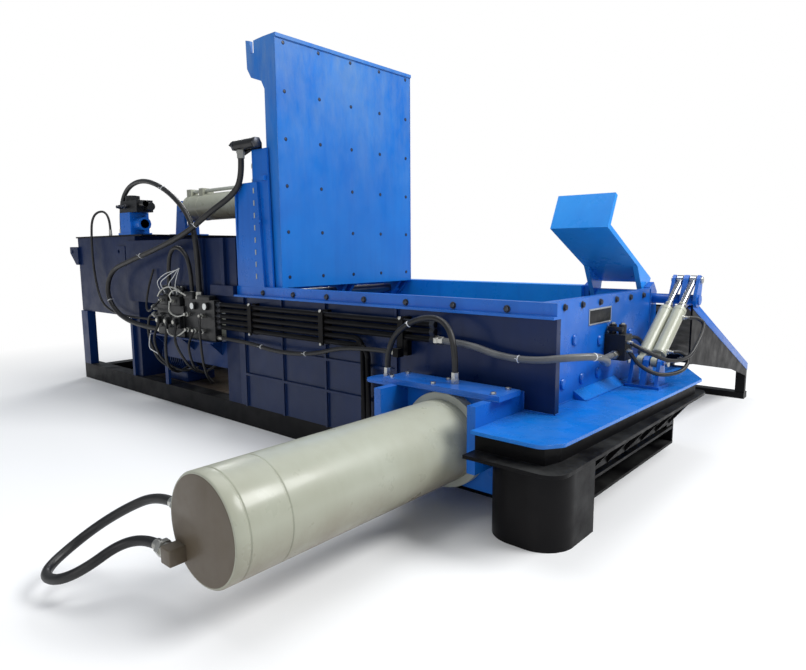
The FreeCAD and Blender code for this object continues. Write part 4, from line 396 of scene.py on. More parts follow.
def fill_mesh(name, points, faces):
    """A mesh from an (n, 3) array of points and a list of (m, k) arrays of corner numbers."""
    mesh = bpy.data.meshes.new(name)
    corners = np.concatenate([f.ravel() for f in faces]).astype(np.int32)
    counts = np.concatenate([np.full(len(f), f.shape[1]) for f in faces]).astype(np.int32)
    starts = np.concatenate([[0], np.cumsum(counts)[:-1]]).astype(np.int32)
    mesh.vertices.add(len(points))
    mesh.vertices.foreach_set("co", np.asarray(points, np.float32).ravel())
    mesh.loops.add(len(corners))
    mesh.loops.foreach_set("vertex_index", corners)
    mesh.polygons.add(len(counts))
    mesh.polygons.foreach_set("loop_start", starts)
    mesh.polygons.foreach_set("loop_total", counts)
    mesh.update()
    mesh.validate()
    return mesh


def tube_faces(rows, sides):
    """The quads between rings of points, and the two faces that close the ends."""
    r, c = np.meshgrid(np.arange(rows - 1), np.arange(sides), indexing="ij")
    r, c = r.ravel() * sides, c.ravel()
    after = (c + 1) % sides
    ends = np.arange(sides)
    return [
        np.stack([r + c, r + after, r + sides + after, r + sides + c], axis=1),
        ends[::-1].reshape(1, -1), (ends + (rows - 1) * sides).reshape(1, -1),
    ]


def stack(shells):
    """Several (points, faces) shells as one."""
    points, faces, offset = [], [], 0
    for p, f in shells:
        points.append(p)
        faces += [one + offset for one in f]
        offset += len(p)
    return np.concatenate(points), faces


def piece(name, shells, finish, body="machine", hides=None):
    """Several shells as one visible piece on a body, in place of a CAD node where one is named."""
    mesh = fill_mesh(name, *stack(shells))
    mesh.polygons.foreach_set("use_smooth", np.ones(len(mesh.polygons), bool))
    mesh.set_sharp_from_angle(angle=math.radians(SHARP_TURN))
    mesh.materials.append(FINISHES[finish])
    made = bpy.data.objects.new(name, mesh)
    scene.collection.objects.link(made)
    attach(made, body)
    if hides:
        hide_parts(hides)


def lathe(profile, centre, axis, sides=40):
    """A turned shell: each (radius, height) of the profile swept round axis, its two ends closed."""
    axis = np.array(axis, float)
    axis /= np.linalg.norm(axis)
    helper = np.array([0.0, 0.0, 1.0]) if abs(axis[2]) < 0.9 else np.array([1.0, 0.0, 0.0])
    u = np.cross(helper, axis)
    u /= np.linalg.norm(u)
    v = np.cross(axis, u)
    radius, height = np.array(profile, float).T
    angle = np.linspace(0, 2 * np.pi, sides, endpoint=False)
    ring = np.cos(angle)[:, None] * u + np.sin(angle)[:, None] * v
    points = np.array(centre, float) + height[:, None, None] * axis + radius[:, None, None] * ring
    return points.reshape(-1, 3), tube_faces(len(radius), sides)


def sweep(path, radius, sides):
    """A tube round a path: at each point a circle of that radius in the plane across the path.

    The circle's directions come from one starting direction, less what lies along the path at each
    point, so that the tube doesn't twist. radius may vary along the path.
    """
    path = np.asarray(path, float)
    along = np.gradient(path, axis=0)
    along /= np.linalg.norm(along, axis=1, keepdims=True)
    total = along.sum(axis=0)
    level = abs(total[2]) < 0.8 * np.linalg.norm(total) + 1e-9
    start = np.array([0.0, 0.0, 1.0] if level else [0.0, 1.0, 0.0])
    side = start - along * (along @ start)[:, None]
    weak = np.linalg.norm(side, axis=1) < 1e-3
    side[weak] += np.array([0.31, 0.77, 0.55])
    side -= along * np.einsum("ij,ij->i", side, along)[:, None]
    side /= np.linalg.norm(side, axis=1, keepdims=True)
    other = np.cross(along, side)
    angle = np.linspace(0, 2 * np.pi, sides, endpoint=False)
    size = np.broadcast_to(np.asarray(radius, float), (len(path),))[:, None, None]
    ring = np.cos(angle)[None, :, None] * side[:, None] + np.sin(angle)[None, :, None] * other[:, None]
    return (path[:, None] + size * ring).reshape(-1, 3), tube_faces(len(path), sides)


def box(low, high, radius=0.004, steps=1):
    """A box with round edges: a cube's grid pushed out from a smaller core box by radius."""
    low, high = np.array(low, float), np.array(high, float)
    radius = min(radius, 0.49 * (high - low).min())
    middle, reach = (low + high) / 2, (high - low) / 2 - radius
    turns = np.tan(np.linspace(-1, 1, 2 * steps + 2) * np.pi / 4)
    n = len(turns)
    a, b = np.meshgrid(turns, turns, indexing="ij")
    r, c = np.meshgrid(np.arange(n - 1), np.arange(n - 1), indexing="ij")
    r, c = r.ravel() * n, c.ravel()
    quads = np.stack([r + c, r + n + c, r + n + c + 1, r + c + 1], axis=1)
    shells = []
    for axis in range(3):
        for sign in (-1.0, 1.0):
            cube = np.empty(a.shape + (3,))
            cube[..., axis] = sign
            cube[..., (axis + 1) % 3] = a
            cube[..., (axis + 2) % 3] = b
            direction = cube / np.linalg.norm(cube, axis=-1, keepdims=True)
            core = middle + np.sign(cube) * reach
            points = (core + radius * direction).reshape(-1, 3)
            shells.append((points, [quads if sign > 0 else quads[:, ::-1]]))
    return stack(shells)


def hexagon(centre, axis, across, height):
    """A hexagon head: six sides, with its top edge drawn in to a chamfer."""
    reach = across / math.sqrt(3)
    cut = 0.12 * reach
    return lathe([(reach, 0.0), (reach, height - cut * 0.6), (reach - cut, height)], centre, axis, 6)


def washer(centre, axis, radius, height):
    """A plain washer with its outer edge eased."""
    return lathe([(radius, 0.0), (radius, height * 0.7), (radius * 0.96, height)], centre, axis, 20)


def bead(start, end, radius):
    """A weld bead: a straight tube whose radius ripples along its length."""
    start, end = np.array(start, float), np.array(end, float)
    length = np.linalg.norm(end - start)
    place = np.linspace(0, length, max(8, int(length / (radius * 0.9))))
    size = radius * (1.0 + 0.16 * np.sin(place / radius * 2.6) + 0.08 * np.sin(place * 31.0))
    return sweep(start + np.outer(place / length, end - start), size, 6)


def smooth_path(points, count):
    """Points along a curve through the given ones: a cubic between each pair, by their neighbours."""
    p = np.asarray(points, float)
    before = np.vstack([2 * p[0] - p[1], p[:-1]])
    after = np.vstack([p[1:], 2 * p[-1] - p[-2]])
    slope = (after - before) / 2
    t = np.linspace(0, len(p) - 1, count)
    i = np.minimum(t.astype(int), len(p) - 2)
    s = (t - i)[:, None]
    return ((2 * s ** 3 - 3 * s ** 2 + 1) * p[i] + (s ** 3 - 2 * s ** 2 + s) * slope[i]
            + (-2 * s ** 3 + 3 * s ** 2) * p[i + 1] + (s ** 3 - s ** 2) * slope[i + 1])


def lead(points, radius, sides=10):
    """A thin hose or wire through its points."""
    return sweep(smooth_path(points, 14 * len(points)), radius, sides)


def rod(start, axis, radius, length, sides=24):
    """A plain turned bar with its end edges eased."""
    cut = 0.08 * radius
    profile = [(radius - cut, 0.0), (radius, cut), (radius, length - cut), (radius - cut, length)]
    return lathe(profile, start, axis, sides)


def union(start, axis, radius):
    """A hose fitting: collar, hexagon nut and sleeve, one after the other."""
    axis = np.array(axis, float) / np.linalg.norm(axis)
    start = np.array(start, float)
    return [
        rod(start, axis, radius, radius * 0.9),
        hexagon(start + axis * radius * 0.9, axis, radius * 2.3, radius * 1.1),
        rod(start + axis * radius * 2.0, axis, radius * 0.85, radius * 1.4),
    ]


dress_nodes()


# ---------------- hoses
# Each hose: diameter, finish and the points of its route.
HOSES = {
    "pump_hose": (0.050, "hose", [
        (-2.330, -0.860, 1.863), (-2.330, -0.860, 2.150), (-2.060, -0.880, 2.345), (-1.560, -0.930, 2.370),
        (-0.960, -0.990, 2.190), (-0.520, -1.030, 1.900), (-0.430, -1.045, 1.560), (-0.430, -1.045, 1.220),
    ]),
    "tower_hose": (0.052, "hose", [
        (-1.220, -1.060, 0.800), (-1.620, -1.060, 0.800), (-2.070, -1.100, 0.900), (-2.300, -1.110, 1.140),
        (-2.130, -1.110, 1.400), (-1.700, -1.110, 1.500), (-1.080, -1.110, 1.630), (-0.500, -1.112, 1.770),
        (-0.120, -1.090, 1.950), (0.190, -1.012, 2.110), (0.270, -1.000, 2.260), (0.270, -1.000, 2.397),
    ]),
    "return_hose": (0.026, "hose", [
        (-2.540, -0.905, 1.863), (-2.540, -0.905, 2.090), (-2.770, -1.010, 2.060), (-2.810, -1.020, 1.700),
        (-2.790, -1.020, 1.330), (-2.640, -1.030, 1.010), (-2.330, -1.036, 0.905), (-1.970, -1.032, 0.880),
        (-1.590, -1.032, 0.884), (-1.220, -1.032, 0.884),
    ]),
    "drop_hose": (0.040, "hose", [
        (-0.560, -1.045, 1.220), (-0.560, -1.045, 1.480), (-0.700, -1.055, 1.640), (-0.880, -1.055, 1.640),
        (-0.990, -1.045, 1.480), (-0.990, -1.045, 1.230),
    ]),
    "wall_hose": (0.034, "hose", [
        (-0.060, -1.045, 0.800), (0.330, -1.045, 0.800), (0.800, -1.092, 0.765), (1.250, -1.092, 0.790),
        (1.650, -1.092, 0.900), (2.055, -1.092, 0.900),
    ]),
    "seat_hose": (0.040, "hose", [
        (2.150, -1.200, 0.815), (2.150, -1.200, 0.990), (2.330, -1.150, 1.150), (2.560, -1.130, 1.180),
        (2.715, -1.200, 1.040), (2.715, -1.200, 0.849),
    ]),
    "end_hose": (0.044, "grey_hose", [
        (2.510, -1.042, 1.009), (2.700, -1.042, 1.009), (2.930, -1.050, 0.955), (3.180, -1.050, 0.950),
        (3.380, -1.030, 0.990), (3.500, -0.830, 0.985), (3.430, -0.560, 0.890), (3.262, -0.330, 0.870),
        (3.262, -0.130, 0.870),
    ]),
    "turnout_hose": (0.030, "hose", [
        (3.275, 0.166, 0.965), (3.275, 0.330, 0.965), (3.275, 0.560, 0.780), (3.370, 0.800, 0.698),
        (3.370, 0.995, 0.698),
    ]),
    "cap_hose": (0.048, "hose", [
        (2.329, -2.875, 0.435), (2.170, -2.875, 0.435), (1.960, -2.950, 0.330), (1.790, -3.080, 0.190),
        (1.850, -3.330, 0.090), (2.110, -3.290, 0.140), (2.180, -3.000, 0.295), (2.410, -3.000, 0.295),
    ]),
}


def route(name, points):
    """The smooth line of a hose: a NURBS curve held by the points of its route."""
    curve = bpy.data.curves.new(name, "CURVE")
    curve.dimensions = "3D"
    spline = curve.splines.new("NURBS")
    spline.points.add(len(points) - 1)
    spline.points.foreach_set("co", np.hstack([np.array(points), np.ones((len(points), 1))]).ravel())
    spline.order_u = 3
    spline.use_endpoint_u = True
    spline.resolution_u = 14
    return curve


def measure(curve):
    """The points of a curve's own line, and its length."""
    holder = bpy.data.objects.new("ruler", curve)
    mesh = bpy.data.meshes.new_from_object(holder)
    line = np.array([v.co for v in mesh.vertices])
    bpy.data.objects.remove(holder)
    bpy.data.meshes.remove(mesh)
    return line, float(np.linalg.norm(np.diff(line, axis=0), axis=1).sum())


LINES = {}


def hoses():
    """Each free hose on its NURBS route, in place of its plain solid."""
    for name, (diameter, finish, points) in HOSES.items():
        curve = route(name + "_cover", points)
        line, length = measure(curve)
        LINES[name] = line
        curve.bevel_depth = diameter / 2
        curve.bevel_resolution = 6
        curve.materials.append(FINISHES[finish])
        hose = bpy.data.objects.new(name + "_cover", curve)
        scene.collection.objects.link(hose)
        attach(hose, "machine")
        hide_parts(name)


hoses()


# ---------------- side press
SIDE_X, SIDE_Z, SIDE_START, SIDE_LENGTH = 2.690, 0.438, -2.960, 1.720
BARREL_RADIUS, FLANGE_RADIUS, FLANGE_THICKNESS = 0.256, 0.300, 0.060


def side_press():
    """The barrel turned smooth with its weld seams, the flange ring, the end plate and the ports."""
    centre, along, r = (SIDE_X, SIDE_START, SIDE_Z), (0, 1, 0), BARREL_RADIUS
    front = SIDE_LENGTH - FLANGE_THICKNESS
    profile = [(0.240, 0.0), (0.250, 0.002), (r, 0.010)]
    groove = r - 0.0035
    for seam in (0.070, 0.285, front - 0.075):
        profile += [(r, seam - 0.006), (groove, seam - 0.002), (groove, seam + 0.002), (r, seam + 0.006)]
    profile += [(r, front), (0.270, front + 0.002)]
    ring = [(0.262, front - 0.004), (FLANGE_RADIUS - 0.002, front - 0.002), (FLANGE_RADIUS, front + 0.004),
            (FLANGE_RADIUS, SIDE_LENGTH)]
    disc = [(0.236, -0.0015), (0.243, 0.0), (0.243, 0.002)]
    barrel = lathe(profile, centre, along, 112)
    piece("side_barrel", [barrel], "beige", hides="side_cylinder")
    piece("side_flange_ring", [lathe(ring, centre, along, 112)], "grey")
    piece("side_end_plate", [lathe(disc, centre, along, 96)], "cap")
    ports = [box((2.399, -2.915, 0.395), (2.459, -2.835, 0.475), 0.006, 2),
             box((2.480, -3.040, 0.255), (2.560, -2.955, 0.335), 0.008, 2)]
    piece("side_ports", ports, "cap")
    nuts = union((2.482, -2.998, 0.295), (-1, 0, 0), 0.032) + union((2.400, -2.875, 0.435), (-1, 0, 0), 0.030)
    piece("side_port_nuts", nuts, "zinc")


side_press()


# ---------------- bolts and welds
END_FACE = 3.180  # X of the end wall's outer face
LINER_FACE = 0.666  # X of the open lid's liner
RIM_BOLT_Z = 1.240
NEAR_SEAM = -0.978  # Y just off the near wall


def bolted(centre, axis):
    """A hexagon head on its washer, 3 mm off the plate at centre."""
    axis = np.array(axis, float)
    return [washer(centre, axis, 0.024, 0.004), hexagon(centre + 0.003 * axis, axis, 0.034, 0.013)]


def bolts():
    """Hexagon heads along the rim and the end wall, the liner's flush heads and the small ones."""
    heads = []
    for x in np.linspace(0.484, 2.943, 7):
        heads += bolted((x, -0.976, RIM_BOLT_Z), (0, -1, 0))
    for y in (-0.683, -0.431, -0.150, 0.126, 0.390, 0.657):
        heads += bolted((END_FACE, y, RIM_BOLT_Z), (1, 0, 0))
    piece("wall_bolt_heads", heads, "bolt", hides="wall_bolts")
    flush, rims = [], []
    for y in np.linspace(-0.822, 0.725, 5):
        for z in np.linspace(1.376, 3.308, 6):
            place = (LINER_FACE, y, z)
            rims.append(lathe([(0.0165, -0.001), (0.0165, 0.0006), (0.0120, 0.0012)], place, (1, 0, 0), 20))
            flush.append(lathe([(0.0115, 0.0), (0.0110, 0.0022), (0.0045, 0.0026)], place, (1, 0, 0), 16))
    # The rims round the flush heads take the near side's dark blue: painted shade in the countersinks.
    piece("liner_bolt_rims", rims, "wall", "lid_assembly")
    piece("liner_bolt_heads", flush, "bolt", "lid_assembly", "lid_liner_bolts")
    small = [hexagon((x, -1.072, z), (0, -1, 0), 0.022, 0.010)
             for x, z in ((0.400, 0.880), (0.400, 1.140), (1.330, 0.880), (1.330, 1.140), (2.150, 1.140))]
    small += [hexagon((x, y, 0.779), (0, 0, 1), 0.030, 0.014)
              for x in (2.28, 2.62, 3.06) for y in (-1.140, -1.300)]
    small += [hexagon((-2.215, y, 1.815), (0, 0, 1), 0.020, 0.010) for y in (-0.92, -0.86, -0.80, -0.74)]
    piece("small_bolt_heads", small, "zinc")


def welds():
    """Beads along the seams that the viewer sees, each on its own body."""
    wall = [bead((x + side, NEAR_SEAM, 0.195), (x + side, NEAR_SEAM, 0.86), 0.0035)
            for x in (0.192, 0.736, 1.280) for side in (0.0, 0.020)]
    for left, heights in ((0.212, (0.480, 0.500)), (0.756, (0.736, 0.756))):
        wall += [bead((left, NEAR_SEAM, z), (2.032, NEAR_SEAM, z), 0.0035) for z in heights]
    wall.append(bead((0.10, NEAR_SEAM, 1.195), (3.27, NEAR_SEAM, 1.195), 0.004))
    # The beads take the near side's darker copy of the blue: painted shade.
    piece("wall_beads", wall, "wall")
    chamber = [bead((3.182, y, 0.632), (3.182, y, 1.280), 0.005) for y in (-0.926, 0.810)]
    chamber += [
        bead((3.183, -0.90, 0.627), (3.183, 0.80, 0.627), 0.005),
        bead((3.283, -0.974, 0.627), (3.283, -0.930, 0.627), 0.005),
        bead((3.270, -0.523, 0.628), (3.270, 0.137, 0.628), 0.004),
        bead((3.079, -0.980, 0.627), (3.276, -0.980, 0.627), 0.004),
    ]
    chamber += [bead((x, -0.980, 0.20), (x, -0.980, 0.742), 0.005) for x in (2.307, 3.073)]
    chamber.append(bead((2.233, -1.334, 0.747), (3.117, -1.334, 0.747), 0.004))
    piece("chamber_beads", chamber, "blue")
    edge = [bead((0.667, y, 1.30), (0.667, y, 3.36), 0.0035) for y in (-0.908, 0.796)]
    edge.append(bead((0.667, -0.90, 3.337), (0.667, 0.79, 3.337), 0.003))
    piece("lid_beads", edge, "lid", "lid_assembly")
    stitches = [bead((0.402, NEAR_SEAM, z), (0.402, NEAR_SEAM, z + 0.045), 0.006)
                for z in np.arange(1.36, 2.15, 0.105)]
    stitches += [bead((0.349, -0.948, z), (0.349, -0.948, z + 0.04), 0.005)
                 for z in np.arange(1.40, 2.34, 0.13)]
    piece("tower_stitches", stitches, "grey")
    dome = [(0.036, 0.0), (0.037, 0.006), (0.030, 0.0145), (0.012, 0.0165)]
    plugs = [lathe(dome, (END_FACE, y, z), (1, 0, 0), 28)
             for y, z in ((-0.532, 1.017), (0.222, 1.014), (-0.143, 0.973), (0.401, 0.966), (-0.683, 0.751),
                          (-0.410, 0.746), (-0.157, 0.748))]
    piece("plug_beads", plugs, "blue")


bolts()
welds()


# ---------------- pipes, valves and fittings
RACK_Y, RACK_LEFT, RACK_RIGHT, RACK_PITCH = -1.042, -0.130, 2.440, 0.052
RACK_LOW, BEND_RADIUS, SKID_END = 0.905, 0.090, 0.340
VALVE_FACE = -1.134  # Y of the three lower valves' covers
FIRST_VALVE, VALVE_PITCH, VALVE_Z = -1.055, 0.160, 0.915
VALVE_HOSES = (  # radius and route of each hose that hangs from the valves
    (0.013, (
        (-1.020, -1.160, 0.900), (-1.050, -1.205, 0.720), (-1.010, -1.150, 0.520), (-0.900, -1.020, 0.400),
        (-0.850, -0.850, 0.400),
    )),
    (0.015, (
        (-0.860, -1.160, 0.900), (-0.800, -1.220, 0.680), (-0.860, -1.170, 0.470), (-1.020, -0.980, 0.360),
        (-1.120, -0.800, 0.380),
    )),
    (0.013, (
        (-0.700, -1.160, 0.900), (-0.620, -1.210, 0.720), (-0.520, -1.150, 0.520), (-0.600, -0.950, 0.400),
        (-0.740, -0.700, 0.420),
    )),
    (0.012, (
        (-0.430, -1.130, 0.850), (-0.420, -1.190, 0.700), (-0.440, -1.130, 0.500), (-0.560, -0.950, 0.400),
    )),
    (0.014, (
        (-1.300, -1.055, 0.950), (-1.420, -1.060, 0.900), (-1.440, -1.060, 0.700), (-1.340, -1.030, 0.480),
        (-1.200, -0.950, 0.360),
    )),
    (0.012, (
        (-0.300, -1.130, 1.000), (-0.230, -1.180, 0.900), (-0.240, -1.160, 0.620), (-0.340, -1.060, 0.420),
        (-0.500, -0.900, 0.300),
    )),
    (0.011, (
        (-1.030, -1.130, 1.115), (-1.040, -1.190, 1.060), (-1.180, -1.180, 1.000), (-1.340, -1.120, 1.060),
        (-1.420, -1.040, 1.240), (-1.380, -1.000, 1.420),
    )),
)
PILOT_LINES = (  # the same for the bent steel lines between the valves
    (0.009, (
        (-1.091, -1.120, 1.154), (-1.016, -1.120, 1.216), (-0.880, -1.120, 1.254), (-0.722, -1.120, 1.243),
        (-0.618, -1.120, 1.198),
    )),
    (0.008, (
        (-0.795, -1.130, 1.115), (-0.780, -1.160, 1.180), (-0.690, -1.150, 1.230), (-0.560, -1.110, 1.180),
    )),
    (0.008, (
        (-0.560, -1.130, 1.000), (-0.640, -1.170, 0.980), (-0.760, -1.180, 1.020), (-0.850, -1.130, 1.110),
    )),
    (0.008, (
        (-0.560, -1.130, 0.850), (-0.640, -1.180, 0.790), (-0.780, -1.190, 0.800), (-0.900, -1.160, 0.905),
    )),
)
VALVE_WIRES = (  # the same for the wires
    (0.004, (
        (-1.065, -1.098, 1.200), (-1.060, -1.130, 1.300), (-0.960, -1.100, 1.380), (-0.820, -1.050, 1.420),
    )),
    (0.004, (
        (-0.990, -1.098, 1.200), (-0.980, -1.140, 1.290), (-0.900, -1.110, 1.360), (-0.800, -1.050, 1.430),
    )),
    (0.004, (
        (-0.830, -1.098, 1.200), (-0.820, -1.140, 1.280), (-0.790, -1.100, 1.360), (-0.780, -1.050, 1.440),
    )),
    (0.004, (
        (-0.755, -1.098, 1.200), (-0.720, -1.130, 1.260), (-0.740, -1.100, 1.350), (-0.770, -1.050, 1.440),
    )),
    (0.005, (
        (-1.320, -1.100, 0.780), (-1.250, -1.160, 0.620), (-1.100, -1.150, 0.560), (-0.960, -1.080, 0.420),
    )),
)


def rack_pipe(number):
    """One rack pipe's line: straight, and for the two lowest round a bend and down to the skid."""
    z = RACK_LOW + RACK_PITCH * number
    if number > 1:
        return [(RACK_LEFT, RACK_Y, z), (RACK_RIGHT, RACK_Y, z)]
    corner, bend = 1.810 - RACK_PITCH * number, BEND_RADIUS
    turn = np.linspace(0, np.pi / 2, 14)
    arc = [(corner - bend + bend * math.sin(a), RACK_Y, z - bend + bend * math.cos(a)) for a in turn]
    return [(RACK_LEFT, RACK_Y, z)] + arc + [(corner, RACK_Y, SKID_END)]


def pipes():
    """The rack's round pipes and the unions at their ends."""
    shells, nuts = [], []
    for number in range(5):
        line = rack_pipe(number)
        z = line[0][2]
        shells.append(sweep(line, 0.021, 24))
        nuts += [hexagon((-0.126, RACK_Y, z), (1, 0, 0), 0.052, 0.034),
                 rod((-0.092, RACK_Y, z), (1, 0, 0), 0.0235, 0.022)]
        if number > 1:
            nuts.append(hexagon((2.404, RACK_Y, z), (1, 0, 0), 0.052, 0.034))
    piece("rack_pipes", shells, "black", hides="pressure_pipes")
    piece("rack_unions", nuts, "bolt")


def lower_valves(black, silver, dark):
    """Three square covers with a hexagon plug and four screws each."""
    for number in range(3):
        x = FIRST_VALVE + VALVE_PITCH * number
        black.append(box((x - 0.066, VALVE_FACE, 0.849), (x + 0.066, -1.098, 0.981), 0.008, 2))
        silver += [hexagon((x, VALVE_FACE, VALVE_Z), (0, -1, 0), 0.052, 0.022),
                   rod((x, -1.156, VALVE_Z), (0, -1, 0), 0.020, 0.016)]
        dark += [rod((x + dx, VALVE_FACE, VALVE_Z + dz), (0, -1, 0), 0.009, 0.010, 12)
                 for dx in (-0.050, 0.050) for dz in (-0.050, 0.050)]


def pilot_valves(black, silver, dark, plugs):
    """Two pilot valves, each with two upright coils, their plugs and a union."""
    for number in range(2):
        left = -1.110 + 0.235 * number
        black.append(box((left - 0.004, -1.099, 1.070), (left + 0.164, -1.012, 1.162), 0.006, 2))
        for shift in (0.045, 0.120):
            x = left + shift
            dark.append(rod((x, -1.040, 1.160), (0, 0, 1), 0.033, 0.092, 28))
            silver.append(hexagon((x, -1.040, 1.252), (0, 0, 1), 0.030, 0.012))
            plugs.append(box((x - 0.018, -1.098, 1.180), (x + 0.018, -1.066, 1.222)))
        silver += union((left + 0.080, -1.098, 1.115), (0, -1, 0), 0.014)


def valve_bay():
    """Valve covers, coils, plugs, gauges and small lines crowded on the manifold."""
    black, silver, dark, plugs, white = [], [], [], [], []
    lower_valves(black, silver, dark)
    pilot_valves(black, silver, dark, plugs)
    for z in (0.950, 1.030):
        silver += union((-1.244, -1.055, z), (-1, 0, 0), 0.026)
    for x, z in ((-0.560, 0.850), (-0.430, 0.850), (-0.300, 0.850), (-0.560, 1.000), (-0.300, 1.000)):
        silver += union((x, -1.080, z), (0, -1, 0), 0.019)
    for x, z in ((-0.470, 1.085), (-0.250, 1.090)):
        dark.append(rod((x, -1.080, z), (0, -1, 0), 0.036, 0.030, 32))
        white.append(rod((x, -1.110, z), (0, -1, 0), 0.031, 0.002, 32))
    black += [box((-0.640, -1.094, 1.148), (-0.480, -1.020, 1.215), 0.006, 2),
              box((-0.400, -1.094, 1.148), (-0.190, -1.020, 1.190), 0.006, 2)]
    piece("valve_covers", black, "valve")
    piece("valve_caps", silver, "zinc")
    piece("valve_coils", dark, "coil")
    piece("valve_plugs", plugs, "plug")
    piece("gauge_dials", white, "dial")
    piece("valve_hoses", [lead(line, radius) for radius, line in VALVE_HOSES], "hose")
    piece("valve_pilot_lines", [lead(line, radius) for radius, line in PILOT_LINES], "zinc")
    piece("valve_wires", [lead(line, radius, 6) for radius, line in VALVE_WIRES], "tie")


pipes()
valve_bay()


# ---------------- trims
PIVOT = (0.198, 0.801)  # Y and Z of the turn-out cylinders' lower pin
CYLINDER_SLOPE = 34.36  # degrees
CYLINDERS_X = (3.350, 3.450)
GLAND_AT, RINGS_AT, CRANK_AT = 0.597, (0.092, 0.566), 0.976  # metres up the cylinders from that pin
PORTS = ((0.297, 0.869), (0.619, 1.089))  # Y and Z on the outer turn-out cylinder
TURNOUT_LINES = (  # from the end valve block to the far port and to the near one
    (
        (3.345, -0.030, 0.960), (3.450, 0.020, 0.900), (3.560, 0.160, 0.830), (3.615, 0.380, 0.830),
        (3.630, 0.560, 0.920), (3.630, 0.680, 1.030), (3.590, 0.670, 1.080), (3.530, 0.619, 1.089),
    ),
    (
        (3.345, -0.030, 0.900), (3.420, 0.000, 0.800), (3.520, 0.100, 0.735), (3.600, 0.280, 0.740),
        (3.615, 0.390, 0.800), (3.570, 0.360, 0.860), (3.530, 0.297, 0.869),
    ),
)
LID_CYLINDER = (-0.056, 2.130)  # Y and Z of its axis
FIN_COUNT, FIRST_FIN, FIN_PITCH = 11, 0.070, 0.042
CHUTE_START, CHUTE_SLOPE = 1.066, 21.7  # metres, degrees


def tie(line, share, radius):
    """A white strap round a hose at a share of its length, with its cut tail."""
    at = int(share * (len(line) - 2))
    along = line[at + 1] - line[at]
    along = along / np.linalg.norm(along)
    start = line[at] - along * 0.004
    side = np.cross(along, (0.0, 0.0, 1.0))
    return [rod(start, along, radius + 0.0022, 0.008, 20),
            rod(start + side * radius + along * 0.004, side + np.array((0.0, 0.0, 0.4)), 0.0022, 0.030, 6)]


def ties():
    """Straps along the hoses that the viewer sees."""
    shells = []
    for name, shares in (
        ("end_hose", (0.30, 0.62, 0.90)), ("tower_hose", (0.22, 0.50, 0.70)), ("pump_hose", (0.55,)),
        ("wall_hose", (0.25, 0.60)), ("turnout_hose", (0.35,)), ("seat_hose", (0.35,)),
    ):
        for share in shares:
            shells += tie(LINES[name], share, HOSES[name][0] / 2)
    piece("hose_ties", shells, "tie")


def end_valve():
    """Coils and fittings on the end wall's valve block, and its two hoses to the outer cylinder."""
    silver, dark = [], []
    for y, z in ((-0.030, 0.960), (-0.030, 0.900), (0.028, 0.930)):
        silver += union((3.330, y, z), (1, 0, 0), 0.012)
    silver += union((3.262, -0.062, 0.870), (0, -1, 0), 0.021)
    for x in (3.215, 3.285):
        dark.append(rod((x, 0.0, 1.008), (0, 0, 1), 0.026, 0.070, 28))
        silver.append(hexagon((x, 0.0, 1.078), (0, 0, 1), 0.026, 0.011))
    dark.append(box((3.196, -0.052, 1.030), (3.304, -0.024, 1.062)))
    piece("end_valve_fittings", silver, "zinc")
    piece("end_valve_coils", dark, "coil")
    ports = []
    for y, z in PORTS:
        ports.append(rod((3.494, y, z), (1, 0, 0), 0.018, 0.014))
        ports += union((3.506, y, z), (1, 0, 0), 0.011)
    piece("turnout_ports", ports, "zinc", "turnout_cylinders")
    lines = [lead(line, 0.014, 14) for line in TURNOUT_LINES]
    piece("turnout_lines", lines, "hose", "turnout_cylinders")


def turnout_trim():
    """Glands, end rings and pin caps of the two turn-out cylinders."""
    slope = math.radians(CYLINDER_SLOPE)
    along = np.array((0.0, math.cos(slope), math.sin(slope)))
    ring = [(0.048, -0.010), (0.0505, -0.007), (0.0505, 0.007), (0.048, 0.010)]
    glands, rings = [], []
    for x in CYLINDERS_X:
        foot = np.array((x, *PIVOT))
        glands.append(rod(foot + along * GLAND_AT, along, 0.0335, 0.044, 28))
        rings += [lathe(ring, foot + along * place, along, 40) for place in RINGS_AT]
    caps = [hexagon((x, *PIVOT), (way, 0, 0), 0.050, 0.012) for x, way in ((3.266, -1), (3.534, 1))]
    crank = np.array((0.0, *PIVOT)) + along * CRANK_AT
    pins = [rod((x, crank[1], crank[2]), (way, 0, 0), 0.026, 0.014, 28)
            for x, way in ((3.296, -1), (3.504, 1))]
    piece("turnout_glands", glands, "steel", "turnout_cylinders")
    piece("turnout_rings", rings, "beige", "turnout_cylinders")
    piece("pedestal_pin_caps", caps, "zinc")
    piece("crank_pin_caps", pins, "zinc", "turnout")


